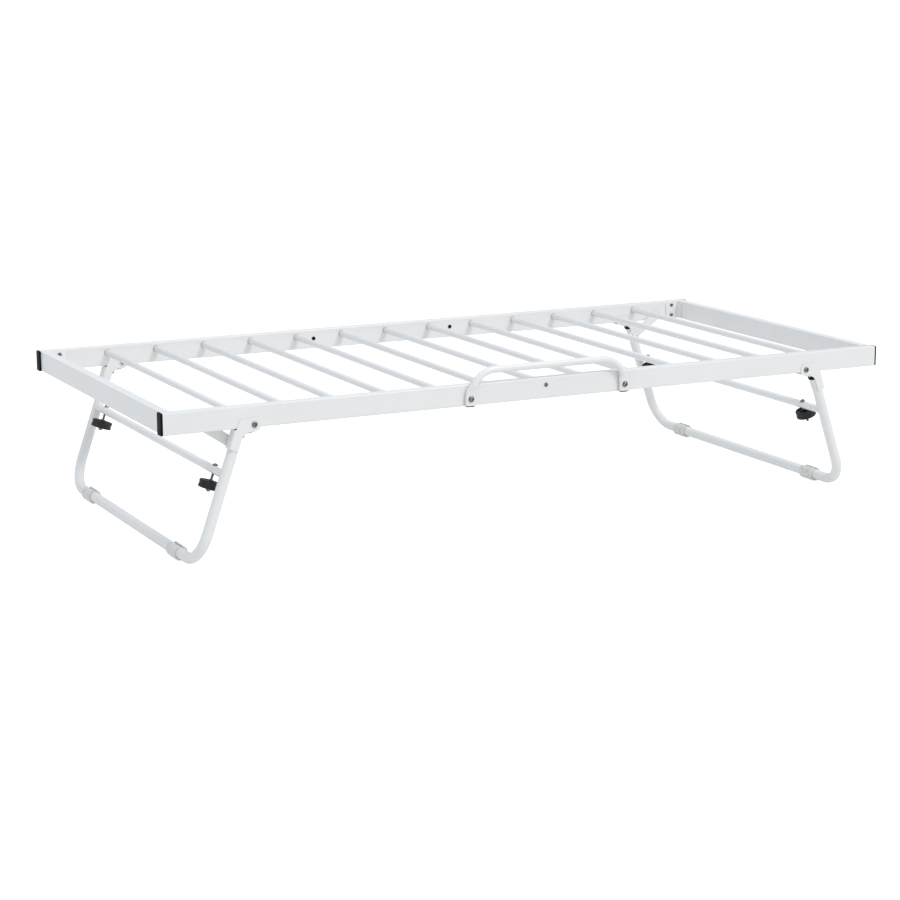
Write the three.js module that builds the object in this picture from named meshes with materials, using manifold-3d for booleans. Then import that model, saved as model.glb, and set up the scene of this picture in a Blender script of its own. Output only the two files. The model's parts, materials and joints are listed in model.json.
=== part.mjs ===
// Trundle bed: a low slatted steel frame on two folding U-shaped leg frames with castor-like rollers.
// Millimetres, +Z up, X along the bed, the pull handle on the -Y side. The origin is on the floor,
// under the middle of the overall box.
import * as THREE from 'three';
import { mergeVertices } from 'three/addons/utils/BufferGeometryUtils.js';
import Module from 'manifold-3d';

const wasm = await Module();
wasm.setup();

// ---- Driving dimensions -------------------------------------------------------------------------
const GAP = 0.3; // air left between touching pieces

// Bed frame
const BED_LENGTH = 1900; // over the end caps
const BED_WIDTH = 900; // over the side rails
const RAIL_TOP = 364; // above the floor
const RAIL_HEIGHT = 50;
const RAIL_THICKNESS = 25;
const RAIL_CORNER = 3;
const RAIL_WALL = 1.5;
const CAP_FLANGE = 5;
const CAP_PLUG_DEPTH = 16;
const BORE_FLATS = 12; // flats to a drilled hole

// Slats
const SLAT_COUNT = 13;
const SLAT_PITCH = 128.8;
const SLAT_RADIUS = 8;
const SLAT_WALL = 1.2;
const SLAT_DROP = 16.5; // slat axis below the rail top
const SLAT_ENTRY = 8; // how far a slat end reaches past the rail's inner face
const SLAT_HOLE_RADIUS = 8.6;
const FACE_DRILL = 4; // how far a one-wall hole is cut to each side of the rail's face

// Corner angles
const ANGLE_SHEET = 2;
const ANGLE_HEIGHT = 42;
const ANGLE_LONG_ARM = 39;
const ANGLE_SHORT_ARM = 22;
const ANGLE_SCREW_INSET = 22; // screw line from the end rail's inner face
const ANGLE_SCREW_SPACING = 28;
const ANGLE_SCREW_HOLE = 3;

// Pull handle: heights are given from the rail's top
const HANDLE_BOLT_X = 205;
const HANDLE_BOLT_DROP = 32;
const HANDLE_RADIUS = 8.5;
const HANDLE_BEND = 62;
const HANDLE_AXIS_RISE = 32;
const HANDLE_END_DROP = 48; // lower end of the tube
const HANDLE_WALL = 1.5;
const HANDLE_FLAT_HALF = 5.5; // half thickness of the flattened ends
const HANDLE_FLAT_WIDTH = 12.5; // half width of the flattened ends
const HANDLE_FLAT_DROP = 19; // the flattening ends here
const HANDLE_FLAT_BLEND = 20;
const HANDLE_PLUG_HEAD = 3;
const HANDLE_PLUG_CORE = { width: 0.7, depth: 4 }; // width as a share of the head's
const HANDLE_BOLT_PROFILE = [[0, -18], [3, -18], [3, 0], [6.5, 0], [5.8, 2.4], [3, 3.6], [0, 3.8]];

// Folding legs, written for the left leg and relative to its pivot
const PIVOT_X = 734.5; // from the middle of the bed
const PIVOT_RISE = 7; // above the rail's underside
const LEG_TILT = THREE.MathUtils.degToRad(19.1); // from upright, feet outward
const LEG_OFFSET = 25.75; // leg axis outside the pivot
const LEG_RADIUS = 12.5;
const LEG_WALL = 1.5;
const LEG_BEND = 70;
const LEG_TOP_CUT = 26; // from the pivot down the leg to the tube's cut end
const FOOT_RADIUS = 17; // half height of the foot clips, so the bar's axis height
const CROSSBAR_REACH = 126; // from the pivot down the leg
const CROSSBAR_RADIUS = 9.5;
const CROSSBAR_WALL = 1.2;
const PLUG_RADIUS = 12; // head of the black plug in the tube's top
const PLUG_LEAN = 4; // its lip over the tube's open side reaches this far inward
const PLUG_SKIRT = 10; // and this far down the tube
const PLUG_CORE_DEPTH = 12;
const PLUG_RAIL_GAP = 1.5; // the slanted head stops this far under the rail

// Hinge channels
const CHANNEL_SHEET = 1.8;
const CHANNEL_CORNER = 4;
const CHANNEL_END = 67; // from the pivot down the leg to the channel's lower end
const CHANNEL_LIP = 19; // inner edge of the cheeks, measured outward from the pivot
const CHANNEL_EAR_RADIUS = 16;
const CHANNEL_EAR_RUNOUT = 0.35; // the ear's arc runs on by this angle past its top
const CHANNEL_WEB_GAP = 1.8; // slit between the web and the rail's underside

// Rollers and fasteners
const BOLT_RADIUS = 3;
const BOLT_CLEARANCE = 0.4;
const NUT_RADIUS = 6.5;
const NUT_HEIGHT = 5;
const BOLT_TIP = 2; // thread past a nut
const PIVOT_HEAD_PROFILE = [[0, -4], [4, -4], [6.4, -2.2], [7, 0]];
const AXLE_HEAD_PROFILE = [[0, -4.5], [4, -4.5], [6.5, -2.5], [6.5, 0]];
const WHEEL_RADIUS = 25;
const WHEEL_WIDTH = 18;
const WHEEL_EDGE = 2; // bevel of the tread
const WHEEL_HUB = 8.5;
const WHEEL_DISH_RADIUS = 19;
const WHEEL_DISH_DEPTH = 2.5; // ring-shaped recess between hub and rim
const WHEEL_Y = { // axle bolts from the bed's centre line
  left: { front: 371, back: 373 },
  right: { front: 356, back: 382 },
};
const WHEEL_DROP = { left: 35, right: 22.5 }; // wheel centre below the crossbar's axis
const AXLE_END = { left: 52, right: 46 }; // the bolt's end below the crossbar's axis
const SPACER_RADIUS = 6; // washer stack over the higher wheels
const SPACER_MOST = 6;

// Latch arms
const LATCH_STUD_DOWN = 54; // stud on the channel: down the leg from the pivot
const LATCH_STUD_OUT = 26; // and outward from the pivot
const LATCH_ANGLE = THREE.MathUtils.degToRad(34); // slope of the arm
const LATCH_SPAN = 88; // from the stud to the arm's own pivot
const LATCH_HALF_WIDTH = 12.5;
const LATCH_SHEET = 2;
const LATCH_TIP = 13; // arm beyond the stud
const LATCH_STUD_RADIUS = 4;
const LATCH_HEAD_RADIUS = 6.5;
const LATCH_HEAD_HEIGHT = 1.6;
const LATCH_SEAT_GAP = 0.5; // air round the stud in the notch
const LATCH_NOTCH_SWING = THREE.MathUtils.degToRad(25); // the notch's walls follow the stud this far
const LATCH_CHAMFER = 3; // at the arm's free end
const LATCH_SHOULDER_RADIUS = 5; // spacer between the rail and the arm

// Foot clips
const CLIP_LENGTH = 52;
const CLIP_Y = 302;
const CLIP_SLOT = 14; // open strip along the top of the clip
const CLIP_BULGE = 0.4; // how far the round sleeve would reach below its flat sole

// ---- Derived dimensions -------------------------------------------------------------------------
const railEndX = BED_LENGTH / 2 - CAP_FLANGE;
const railMidY = BED_WIDTH / 2 - RAIL_THICKNESS / 2;
const railInnerY = BED_WIDTH / 2 - RAIL_THICKNESS;
const railBottom = RAIL_TOP - RAIL_HEIGHT;
const railMidZ = RAIL_TOP - RAIL_HEIGHT / 2;
const slatZ = RAIL_TOP - SLAT_DROP;
const handleBoltZ = RAIL_TOP - HANDLE_BOLT_DROP;
const pivotZ = railBottom + PIVOT_RISE;
const endRailInnerX = railEndX - RAIL_THICKNESS;

// The leg frame's own directions, in the XZ plane of the left leg
const down = new THREE.Vector3(-Math.sin(LEG_TILT), 0, -Math.cos(LEG_TILT));
const outward = new THREE.Vector3(-Math.cos(LEG_TILT), 0, Math.sin(LEG_TILT));
const pivot = new THREE.Vector3(-PIVOT_X, 0, pivotZ);
const legPoint = (alongLeg, out, y = 0) =>
  pivot.clone().addScaledVector(down, alongLeg).addScaledVector(outward, out).setY(y);
const barReach = (pivotZ + LEG_OFFSET * outward.z - FOOT_RADIUS) / -down.z;

// Latch geometry on the left leg: stud on the channel, arm pivot on the rail
const latchStud = legPoint(LATCH_STUD_DOWN, LATCH_STUD_OUT);
const latchPivot = new THREE.Vector3(
  latchStud.x - LATCH_SPAN * Math.cos(LATCH_ANGLE), 0, latchStud.z + LATCH_SPAN * Math.sin(LATCH_ANGLE));
const cheekHalf = RAIL_THICKNESS / 2 + GAP; // inner faces of the cheeks from the rail's mid plane
const cheekOuter = cheekHalf + CHANNEL_SHEET;
const latchPlane = cheekOuter + GAP; // near face of the arm from the rail's mid plane

// ---- Finishes -----------------------------------------------------------------------------------
const whitePowderCoat = { color: 0xe9e9e6, roughness: 0.35, metalness: 0.1 };
const blackPlastic = { color: 0x141414, roughness: 0.55, metalness: 0 };
const zincPlate = { color: 0xb9bcc0, roughness: 0.3, metalness: 0.9 };
const creamPlastic = { color: 0xdcd8c8, roughness: 0.45, metalness: 0 };

// ---- Helpers ------------------------------------------------------------------------------------
const bed = new THREE.Group();

/** Adds one named piece to a group. */
function addPiece(group, name, geometry, finish) {
  const mesh = new THREE.Mesh(geometry, new THREE.MeshStandardMaterial(finish));
  mesh.name = name;
  group.add(mesh);
  return mesh;
}

/** A solid for cutting and joining, from a closed geometry. */
function solid(geometry) {
  const bare = geometry.index ? geometry.toNonIndexed() : geometry.clone();
  bare.deleteAttribute('normal');
  bare.deleteAttribute('uv');
  const merged = mergeVertices(bare, 1e-4);
  return new wasm.Manifold(new wasm.Mesh({
    numProp: 3,
    vertProperties: new Float32Array(merged.attributes.position.array),
    triVerts: new Uint32Array(merged.index.array),
  }));
}

/** A geometry from a cut or joined solid. */
function geometryOf(manifold) {
  const mesh = manifold.getMesh();
  const geometry = new THREE.BufferGeometry();
  geometry.setAttribute('position', new THREE.BufferAttribute(mesh.vertProperties, 3));
  geometry.setIndex(new THREE.BufferAttribute(mesh.triVerts, 1));
  geometry.computeVertexNormals();
  return geometry;
}

/** Cuts every tool out of a geometry. */
function cut(geometry, tools) {
  return geometryOf(tools.reduce((body, tool) => body.subtract(solid(tool)), solid(geometry)));
}

/** A box from its centre and size. */
function boxAt(x, y, z, sizeX, sizeY, sizeZ) {
  return new THREE.BoxGeometry(sizeX, sizeY, sizeZ).translate(x, y, z);
}

/** A round rod between two points. */
function rod(from, to, radius, sides = 16) {
  const axis = to.clone().sub(from);
  const turn = new THREE.Quaternion().setFromUnitVectors(new THREE.Vector3(0, 1, 0), axis.clone().normalize());
  const middle = from.clone().add(to).multiplyScalar(0.5);
  return new THREE.CylinderGeometry(radius, radius, axis.length(), sides)
    .applyMatrix4(new THREE.Matrix4().compose(middle, turn, new THREE.Vector3(1, 1, 1)));
}

/** A rod along Y through (x, z). */
function rodY(x, z, yFrom, yTo, radius, sides = 16) {
  return rod(new THREE.Vector3(x, yFrom, z), new THREE.Vector3(x, yTo, z), radius, sides);
}

/** A turned piece: profile of [radius, height] points about an axis from a point along a direction. */
function turned(profile, origin, direction, segments = 16) {
  const turn = new THREE.Quaternion().setFromUnitVectors(new THREE.Vector3(0, 1, 0), direction);
  return new THREE.LatheGeometry(profile.map(([r, h]) => new THREE.Vector2(r, h)), segments)
    .applyMatrix4(new THREE.Matrix4().compose(origin, turn, new THREE.Vector3(1, 1, 1)));
}

/** A rectangle with rounded corners, as a shape or a hole. */
function roundedRectangle(Kind, width, height, radius) {
  const w = width / 2;
  const h = height / 2;
  const outline = new Kind();
  outline.moveTo(w, -h + radius);
  outline.lineTo(w, h - radius);
  outline.absarc(w - radius, h - radius, radius, 0, Math.PI / 2);
  outline.lineTo(-w + radius, h);
  outline.absarc(-w + radius, h - radius, radius, Math.PI / 2, Math.PI);
  outline.lineTo(-w, -h + radius);
  outline.absarc(-w + radius, -h + radius, radius, Math.PI, 1.5 * Math.PI);
  outline.lineTo(w - radius, -h);
  outline.absarc(w - radius, -h + radius, radius, 1.5 * Math.PI, 2 * Math.PI);
  return outline;
}

/** A rectangular tube of the rail section, open at both ends, along X and centred on the origin. */
function railTube(length) {
  const section = roundedRectangle(THREE.Shape, RAIL_THICKNESS, RAIL_HEIGHT, RAIL_CORNER);
  section.holes.push(roundedRectangle(THREE.Path, RAIL_THICKNESS - 2 * RAIL_WALL,
    RAIL_HEIGHT - 2 * RAIL_WALL, RAIL_CORNER - RAIL_WALL));
  return new THREE.ExtrudeGeometry(section, { depth: length, bevelEnabled: false, curveSegments: 2 })
    .translate(0, 0, -length / 2)
    .applyMatrix4(new THREE.Matrix4().set(0, 0, 1, 0, 1, 0, 0, 0, 0, 1, 0, 0, 0, 0, 0, 1));
}

/** A path through chosen stations, so that bends take more steps than straights. */
class StationPath extends THREE.Curve {
  constructor(stations) {
    super();
    this.stations = stations;
  }

  sample(t, key) {
    const place = t * (this.stations.length - 1);
    const index = Math.min(Math.floor(place), this.stations.length - 2);
    return this.stations[index][key].clone().lerp(this.stations[index + 1][key], place - index);
  }

  getPoint(t) { return this.sample(t, 'point'); }

  getPointAt(t) { return this.sample(t, 'point'); }

  getTangentAt(t) { return this.sample(t, 'tangent').normalize(); }
}

/** Stations along a line of corner points with every inner corner rounded to a bend radius. */
function bentPath(corners, bendRadius, bendSteps = 6) {
  const stations = [];
  const heading = (a, b) => b.clone().sub(a).normalize();
  stations.push({ point: corners[0], tangent: heading(corners[0], corners[1]) });
  for (let i = 1; i < corners.length - 1; i += 1) {
    const before = heading(corners[i - 1], corners[i]);
    const after = heading(corners[i], corners[i + 1]);
    const bend = before.angleTo(after);
    if (bend < 1e-6) { // a point on a straight
      stations.push({ point: corners[i], tangent: before });
      continue;
    }
    const setback = bendRadius * Math.tan(bend / 2);
    const start = corners[i].clone().addScaledVector(before, -setback);
    const inward = after.clone().addScaledVector(before, -after.dot(before)).normalize();
    for (let k = 0; k <= bendSteps; k += 1) {
      const angle = (bend * k) / bendSteps;
      stations.push({
        point: start.clone().addScaledVector(before, bendRadius * Math.sin(angle))
          .addScaledVector(inward, bendRadius * (1 - Math.cos(angle))),
        tangent: before.clone().multiplyScalar(Math.cos(angle)).addScaledVector(inward, Math.sin(angle)),
      });
    }
  }
  const last = corners.length - 1;
  stations.push({ point: corners[last], tangent: heading(corners[last - 1], corners[last]) });
  return new StationPath(stations);
}

/** A round hollow tube, open at both ends, along a bent path, with so many flats to a half turn. */
function bentTube(path, radius, wall, halfTurnFlats = 8) {
  const section = new THREE.Shape().absarc(0, 0, radius, 0, 2 * Math.PI);
  section.holes.push(new THREE.Path().absarc(0, 0, radius - wall, 0, 2 * Math.PI));
  return new THREE.ExtrudeGeometry(section, {
    steps: path.stations.length - 1, extrudePath: path, curveSegments: halfTurnFlats, bevelEnabled: false,
  });
}

/** A plate: an outline in the XZ plane, from yFrom to yTo. */
function plate(outline, yFrom, yTo) {
  return new THREE.ExtrudeGeometry(outline, { depth: yTo - yFrom, bevelEnabled: false, curveSegments: 6 })
    .applyMatrix4(new THREE.Matrix4().set(1, 0, 0, 0, 0, 0, -1, yTo, 0, 1, 0, 0, 0, 0, 0, 1));
}

// ---- Bed frame ----------------------------------------------------------------------------------
const slatXs = Array.from({ length: SLAT_COUNT }, (_, i) => (i - (SLAT_COUNT - 1) / 2) * SLAT_PITCH);

/** Side rail with its slat holes, pivot holes and the fixed stud of its latch arm. */
function sideRail(side) {
  const sign = side === 'front' ? -1 : 1;
  const innerFace = sign * railInnerY;
  const outerFace = (sign * BED_WIDTH) / 2;
  const bore = BOLT_RADIUS + BOLT_CLEARANCE;
  const drill = (x, z, face, radius) => rodY(x, z, face - FACE_DRILL, face + FACE_DRILL, radius, BORE_FLATS);
  const tools = slatXs.map((x) => drill(x, slatZ, innerFace, SLAT_HOLE_RADIUS));
  for (const end of [-1, 1]) {
    tools.push(rodY(end * PIVOT_X, pivotZ, outerFace + sign * FACE_DRILL, innerFace - sign * FACE_DRILL,
      bore, BORE_FLATS));
    if (side === 'front') tools.push(drill(end * HANDLE_BOLT_X, handleBoltZ, outerFace, bore));
    for (const half of [-0.5, 0.5]) {
      tools.push(drill(end * (endRailInnerX - ANGLE_SCREW_INSET), railMidZ + half * ANGLE_SCREW_SPACING,
        innerFace, ANGLE_SCREW_HOLE));
    }
  }
  const tube = railTube(2 * railEndX).translate(0, sign * railMidY, railMidZ);
  const body = solid(cut(tube, tools));

  // The stud that the latch arm turns on: a shoulder, a neck through the arm and a flat head over it
  const studX = side === 'front' ? latchPivot.x : -latchPivot.x;
  const shoulder = latchPlane - RAIL_THICKNESS / 2 - GAP;
  const neckEnd = shoulder + LATCH_SHEET + 2 * GAP;
  const stud = turned([
    [0, -RAIL_WALL / 2], [LATCH_SHOULDER_RADIUS, -RAIL_WALL / 2], [LATCH_SHOULDER_RADIUS, shoulder],
    [BOLT_RADIUS, shoulder], [BOLT_RADIUS, neckEnd], [LATCH_HEAD_RADIUS, neckEnd],
    [LATCH_HEAD_RADIUS, neckEnd + LATCH_HEAD_HEIGHT], [0, neckEnd + LATCH_HEAD_HEIGHT],
  ], new THREE.Vector3(studX, innerFace, latchPivot.z), new THREE.Vector3(0, -sign, 0), 12);
  return geometryOf(body.add(solid(stud)));
}

/** Black end cap: a flange over the rail's end and a plug inside it. */
function railCap(sideSign, endSign) {
  const flange = new THREE.ExtrudeGeometry(
    roundedRectangle(THREE.Shape, RAIL_THICKNESS, RAIL_HEIGHT, RAIL_CORNER),
    { depth: CAP_FLANGE - GAP, bevelEnabled: false, curveSegments: 2 });
  const plug = new THREE.ExtrudeGeometry(
    roundedRectangle(THREE.Shape, RAIL_THICKNESS - 2 * RAIL_WALL - 2 * GAP,
      RAIL_HEIGHT - 2 * RAIL_WALL - 2 * GAP, 1),
    { depth: CAP_PLUG_DEPTH + 1, bevelEnabled: false, curveSegments: 1 }).translate(0, 0, -CAP_PLUG_DEPTH);
  const body = geometryOf(solid(flange).add(solid(plug)));
  body.rotateX(Math.PI / 2).rotateZ(Math.PI / 2); // section upright, plug along X
  if (endSign < 0) body.rotateZ(Math.PI);
  return body.translate(endSign * (railEndX + GAP), sideSign * railMidY, railMidZ);
}

/** Corner angle: the long arm lies on the side rail, the short one on the end rail. */
function cornerAngle(sideSign, endSign) {
  const faceY = railInnerY - GAP;
  const faceX = endRailInnerX - GAP;
  const longArm = boxAt(faceX - ANGLE_LONG_ARM / 2, faceY - ANGLE_SHEET / 2, railMidZ,
    ANGLE_LONG_ARM, ANGLE_SHEET, ANGLE_HEIGHT);
  const shortArm = boxAt(faceX - ANGLE_SHEET / 2, faceY - ANGLE_SHORT_ARM / 2, railMidZ,
    ANGLE_SHEET, ANGLE_SHORT_ARM, ANGLE_HEIGHT);
  const holes = [-1, 1].map((end) => rodY(endRailInnerX - ANGLE_SCREW_INSET,
    railMidZ + (end * ANGLE_SCREW_SPACING) / 2, faceY - 5, faceY + 5, ANGLE_SCREW_HOLE, 10));
  const angle = cut(geometryOf(solid(longArm).add(solid(shortArm))), holes);
  return sideSign * endSign > 0
    ? angle.rotateZ(sideSign > 0 ? 0 : Math.PI)
    : geometryOf(solid(angle).mirror([endSign < 0 ? 1 : 0, endSign < 0 ? 0 : 1, 0]));
}

function addBedFrame() {
  for (const side of ['front', 'back']) addPiece(bed, `${side}_rail`, sideRail(side), whitePowderCoat);
  for (const [end, endSign] of [['left', -1], ['right', 1]]) {
    const rail = railTube(2 * (railInnerY - GAP)).rotateZ(Math.PI / 2)
      .translate(endSign * (railEndX - RAIL_THICKNESS / 2), 0, railMidZ);
    addPiece(bed, `${end}_end_rail`, rail, whitePowderCoat);
    for (const [side, sideSign] of [['front', -1], ['back', 1]]) {
      addPiece(bed, `${side}_${end}_rail_cap`, railCap(sideSign, endSign), blackPlastic);
      addPiece(bed, `${side}_${end}_corner_angle`, cornerAngle(sideSign, endSign), whitePowderCoat);
    }
  }
  const slatReach = railInnerY + SLAT_ENTRY;
  slatXs.forEach((x, i) => {
    const path = bentPath([new THREE.Vector3(x, -slatReach, slatZ), new THREE.Vector3(x, slatReach, slatZ)], 1);
    const number = String(i + 1).padStart(2, '0');
    addPiece(bed, `slat_${number}`, bentTube(path, SLAT_RADIUS, SLAT_WALL, 6), whitePowderCoat);
  });
}

// ---- Pull handle --------------------------------------------------------------------------------
/** Bent tube whose two ends are pressed flat where the bolts go through. */
function handleTube() {
  const roundY = -BED_WIDTH / 2 - GAP - HANDLE_RADIUS;
  const flatY = -BED_WIDTH / 2 - GAP - HANDLE_FLAT_HALF;
  const corners = [
    [-1, -HANDLE_END_DROP], [-1, HANDLE_AXIS_RISE], [1, HANDLE_AXIS_RISE], [1, -HANDLE_END_DROP],
  ].map(([end, rise]) => new THREE.Vector3(end * HANDLE_BOLT_X, 0, RAIL_TOP + rise));
  const tube = bentTube(bentPath(corners, HANDLE_BEND, 8), HANDLE_RADIUS, HANDLE_WALL, 6);
  const position = tube.attributes.position;
  for (let i = 0; i < position.count; i += 1) {
    const x = position.getX(i);
    const z = position.getZ(i);
    const belowBlend = RAIL_TOP - HANDLE_FLAT_DROP + HANDLE_FLAT_BLEND - z;
    const amount = THREE.MathUtils.smoothstep(belowBlend, 0, HANDLE_FLAT_BLEND);
    const axisX = Math.sign(x) * HANDLE_BOLT_X;
    const widen = 1 + amount * (HANDLE_FLAT_WIDTH / HANDLE_RADIUS - 1);
    const thin = 1 - amount * (1 - HANDLE_FLAT_HALF / HANDLE_RADIUS);
    if (amount > 0) position.setX(i, axisX + (x - axisX) * widen);
    position.setY(i, THREE.MathUtils.lerp(roundY, flatY, amount) + position.getY(i) * thin);
  }
  return tube;
}

function addPullHandle() {
  const railFace = -BED_WIDTH / 2;
  const bores = [-1, 1].map((end) => rodY(end * HANDLE_BOLT_X, handleBoltZ, railFace - 30, railFace + 5,
    BOLT_RADIUS + BOLT_CLEARANCE, BORE_FLATS));
  addPiece(bed, 'pull_handle', cut(handleTube(), bores), whitePowderCoat);
  const flatY = railFace - GAP - HANDLE_FLAT_HALF;
  const headBase = railFace - 2 * GAP - 2 * HANDLE_FLAT_HALF;
  for (const [end, endSign] of [['left', -1], ['right', 1]]) {
    const bolt = turned(HANDLE_BOLT_PROFILE, new THREE.Vector3(endSign * HANDLE_BOLT_X, headBase, handleBoltZ),
      new THREE.Vector3(0, -1, 0));
    addPiece(bed, `handle_bolt_${end}`, bolt, zincPlate);

    // plug: an oval head under the tube's end and an oval core inside it
    const { width, depth } = HANDLE_PLUG_CORE;
    const plug = turned([
      [0, -HANDLE_PLUG_HEAD], [0.8, -HANDLE_PLUG_HEAD], [1, -HANDLE_PLUG_HEAD + 1], [1, 0],
      [width, 0], [width, depth], [0, depth],
    ], new THREE.Vector3(), new THREE.Vector3(0, 1, 0)).rotateX(Math.PI / 2)
      .scale(HANDLE_FLAT_WIDTH, HANDLE_FLAT_HALF, 1)
      .translate(endSign * HANDLE_BOLT_X, flatY, RAIL_TOP - HANDLE_END_DROP - GAP);
    addPiece(bed, `handle_plug_${end}`, plug, blackPlastic);
  }
}

// ---- Folding legs -------------------------------------------------------------------------------
/** One U: two legs and the bar on the floor, bent from one tube. */
function legFrame() {
  const corners = [
    legPoint(LEG_TOP_CUT, LEG_OFFSET, -railMidY), legPoint(barReach, LEG_OFFSET, -railMidY),
    legPoint(barReach, LEG_OFFSET, railMidY), legPoint(LEG_TOP_CUT, LEG_OFFSET, railMidY),
  ];
  return bentTube(bentPath(corners, LEG_BEND), LEG_RADIUS, LEG_WALL);
}

/** Bar between the legs, its ends cut round the leg tubes, drilled for the axle bolts. */
function crossbar(wheelYs) {
  const middle = (y) => legPoint(CROSSBAR_REACH, LEG_OFFSET, y);
  const bar = bentTube(bentPath([middle(-railMidY), middle(railMidY)], 1), CROSSBAR_RADIUS, CROSSBAR_WALL, 6);
  const across = (y, radius, flats) => rod(legPoint(CROSSBAR_REACH - 40, LEG_OFFSET, y),
    legPoint(CROSSBAR_REACH + 40, LEG_OFFSET, y), radius, flats);
  return cut(bar, [
    ...[-railMidY, railMidY].map((y) => across(y, LEG_RADIUS + GAP + 0.1, 16)),
    ...wheelYs.map((y) => across(y, BOLT_RADIUS + BOLT_CLEARANCE, BORE_FLATS)),
  ]);
}

/** Bent sheet channel over the top of a leg tube; its cheeks straddle the rail and carry the pivot. */
function hingeChannel(sign, withLatchStud) {
  // U section: web outside, two cheeks, bends rounded
  const web = LEG_OFFSET + LEG_RADIUS + GAP;
  const back = web + CHANNEL_SHEET;
  const far = 40; // open side, well past the ear
  const innerCorner = CHANNEL_CORNER - CHANNEL_SHEET;
  const section = new THREE.Shape();
  section.moveTo(-cheekOuter, -far);
  section.lineTo(-cheekHalf, -far);
  section.lineTo(-cheekHalf, web - innerCorner);
  section.absarc(-cheekHalf + innerCorner, web - innerCorner, innerCorner, Math.PI, Math.PI / 2, true);
  section.lineTo(cheekHalf - innerCorner, web);
  section.absarc(cheekHalf - innerCorner, web - innerCorner, innerCorner, Math.PI / 2, 0, true);
  section.lineTo(cheekHalf, -far);
  section.lineTo(cheekOuter, -far);
  section.lineTo(cheekOuter, back - CHANNEL_CORNER);
  section.absarc(cheekOuter - CHANNEL_CORNER, back - CHANNEL_CORNER, CHANNEL_CORNER, 0, Math.PI / 2);
  section.lineTo(-cheekOuter + CHANNEL_CORNER, back);
  section.absarc(-cheekOuter + CHANNEL_CORNER, back - CHANNEL_CORNER, CHANNEL_CORNER, Math.PI / 2, Math.PI);
  const top = -20;
  const bent = new THREE.ExtrudeGeometry(section,
    { depth: CHANNEL_END - top, bevelEnabled: false, curveSegments: 2 });
  const across = new THREE.Vector3(0, -1, 0);
  const basis = new THREE.Matrix4().makeBasis(across, outward, down);
  bent.applyMatrix4(basis.setPosition(legPoint(top, 0, sign * railMidY)));

  // Side view of the cheeks, in steps down the leg and out from the pivot
  const flat = (alongLeg, out) => {
    const p = legPoint(alongLeg, out);
    return new THREE.Vector2(p.x, p.z);
  };
  const outline = new THREE.Shape();
  const start = flat(CHANNEL_END, back + 1);
  outline.moveTo(start.x, start.y);
  const inner = flat(CHANNEL_END, CHANNEL_LIP);
  outline.lineTo(inner.x, inner.y);
  const waist = flat(36, CHANNEL_LIP - 0.5);
  outline.lineTo(waist.x, waist.y);
  const swell = flat(21, CHANNEL_LIP - 3);
  const earBottom = new THREE.Vector2(pivot.x - 1, pivotZ - CHANNEL_EAR_RADIUS);
  outline.quadraticCurveTo(swell.x, swell.y, earBottom.x, earBottom.y);
  outline.absarc(pivot.x, pivotZ, CHANNEL_EAR_RADIUS, -Math.PI / 2, Math.PI / 2 + CHANNEL_EAR_RUNOUT);
  const shoulder = flat(-2, back + 1);
  outline.lineTo(shoulder.x, shoulder.y);
  const cheeks = plate(outline, sign * railMidY - 30, sign * railMidY + 30);

  // The web stops short of the rail, and the pivot hole goes through both cheeks
  const webCut = boxAt(pivot.x - 40, sign * railMidY, railBottom - CHANNEL_WEB_GAP + 30, 120, 2 * cheekHalf, 60);
  const bore = rodY(pivot.x, pivotZ, sign * railMidY - 30, sign * railMidY + 30,
    BOLT_RADIUS + BOLT_CLEARANCE, BORE_FLATS);
  let body = solid(bent).intersect(solid(cheeks)).subtract(solid(webCut)).subtract(solid(bore));
  if (withLatchStud) {
    const headBase = latchPlane - cheekOuter + LATCH_SHEET + GAP;
    const stud = turned([
      [0, -CHANNEL_SHEET / 2], [LATCH_STUD_RADIUS, -CHANNEL_SHEET / 2], [LATCH_STUD_RADIUS, headBase],
      [LATCH_HEAD_RADIUS, headBase], [LATCH_HEAD_RADIUS, headBase + LATCH_HEAD_HEIGHT],
      [0, headBase + LATCH_HEAD_HEIGHT],
    ], latchStud.clone().setY(sign * (railMidY - cheekOuter)), new THREE.Vector3(0, -sign, 0), 12);
    body = body.add(solid(stud));
  }
  return geometryOf(body);
}

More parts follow.
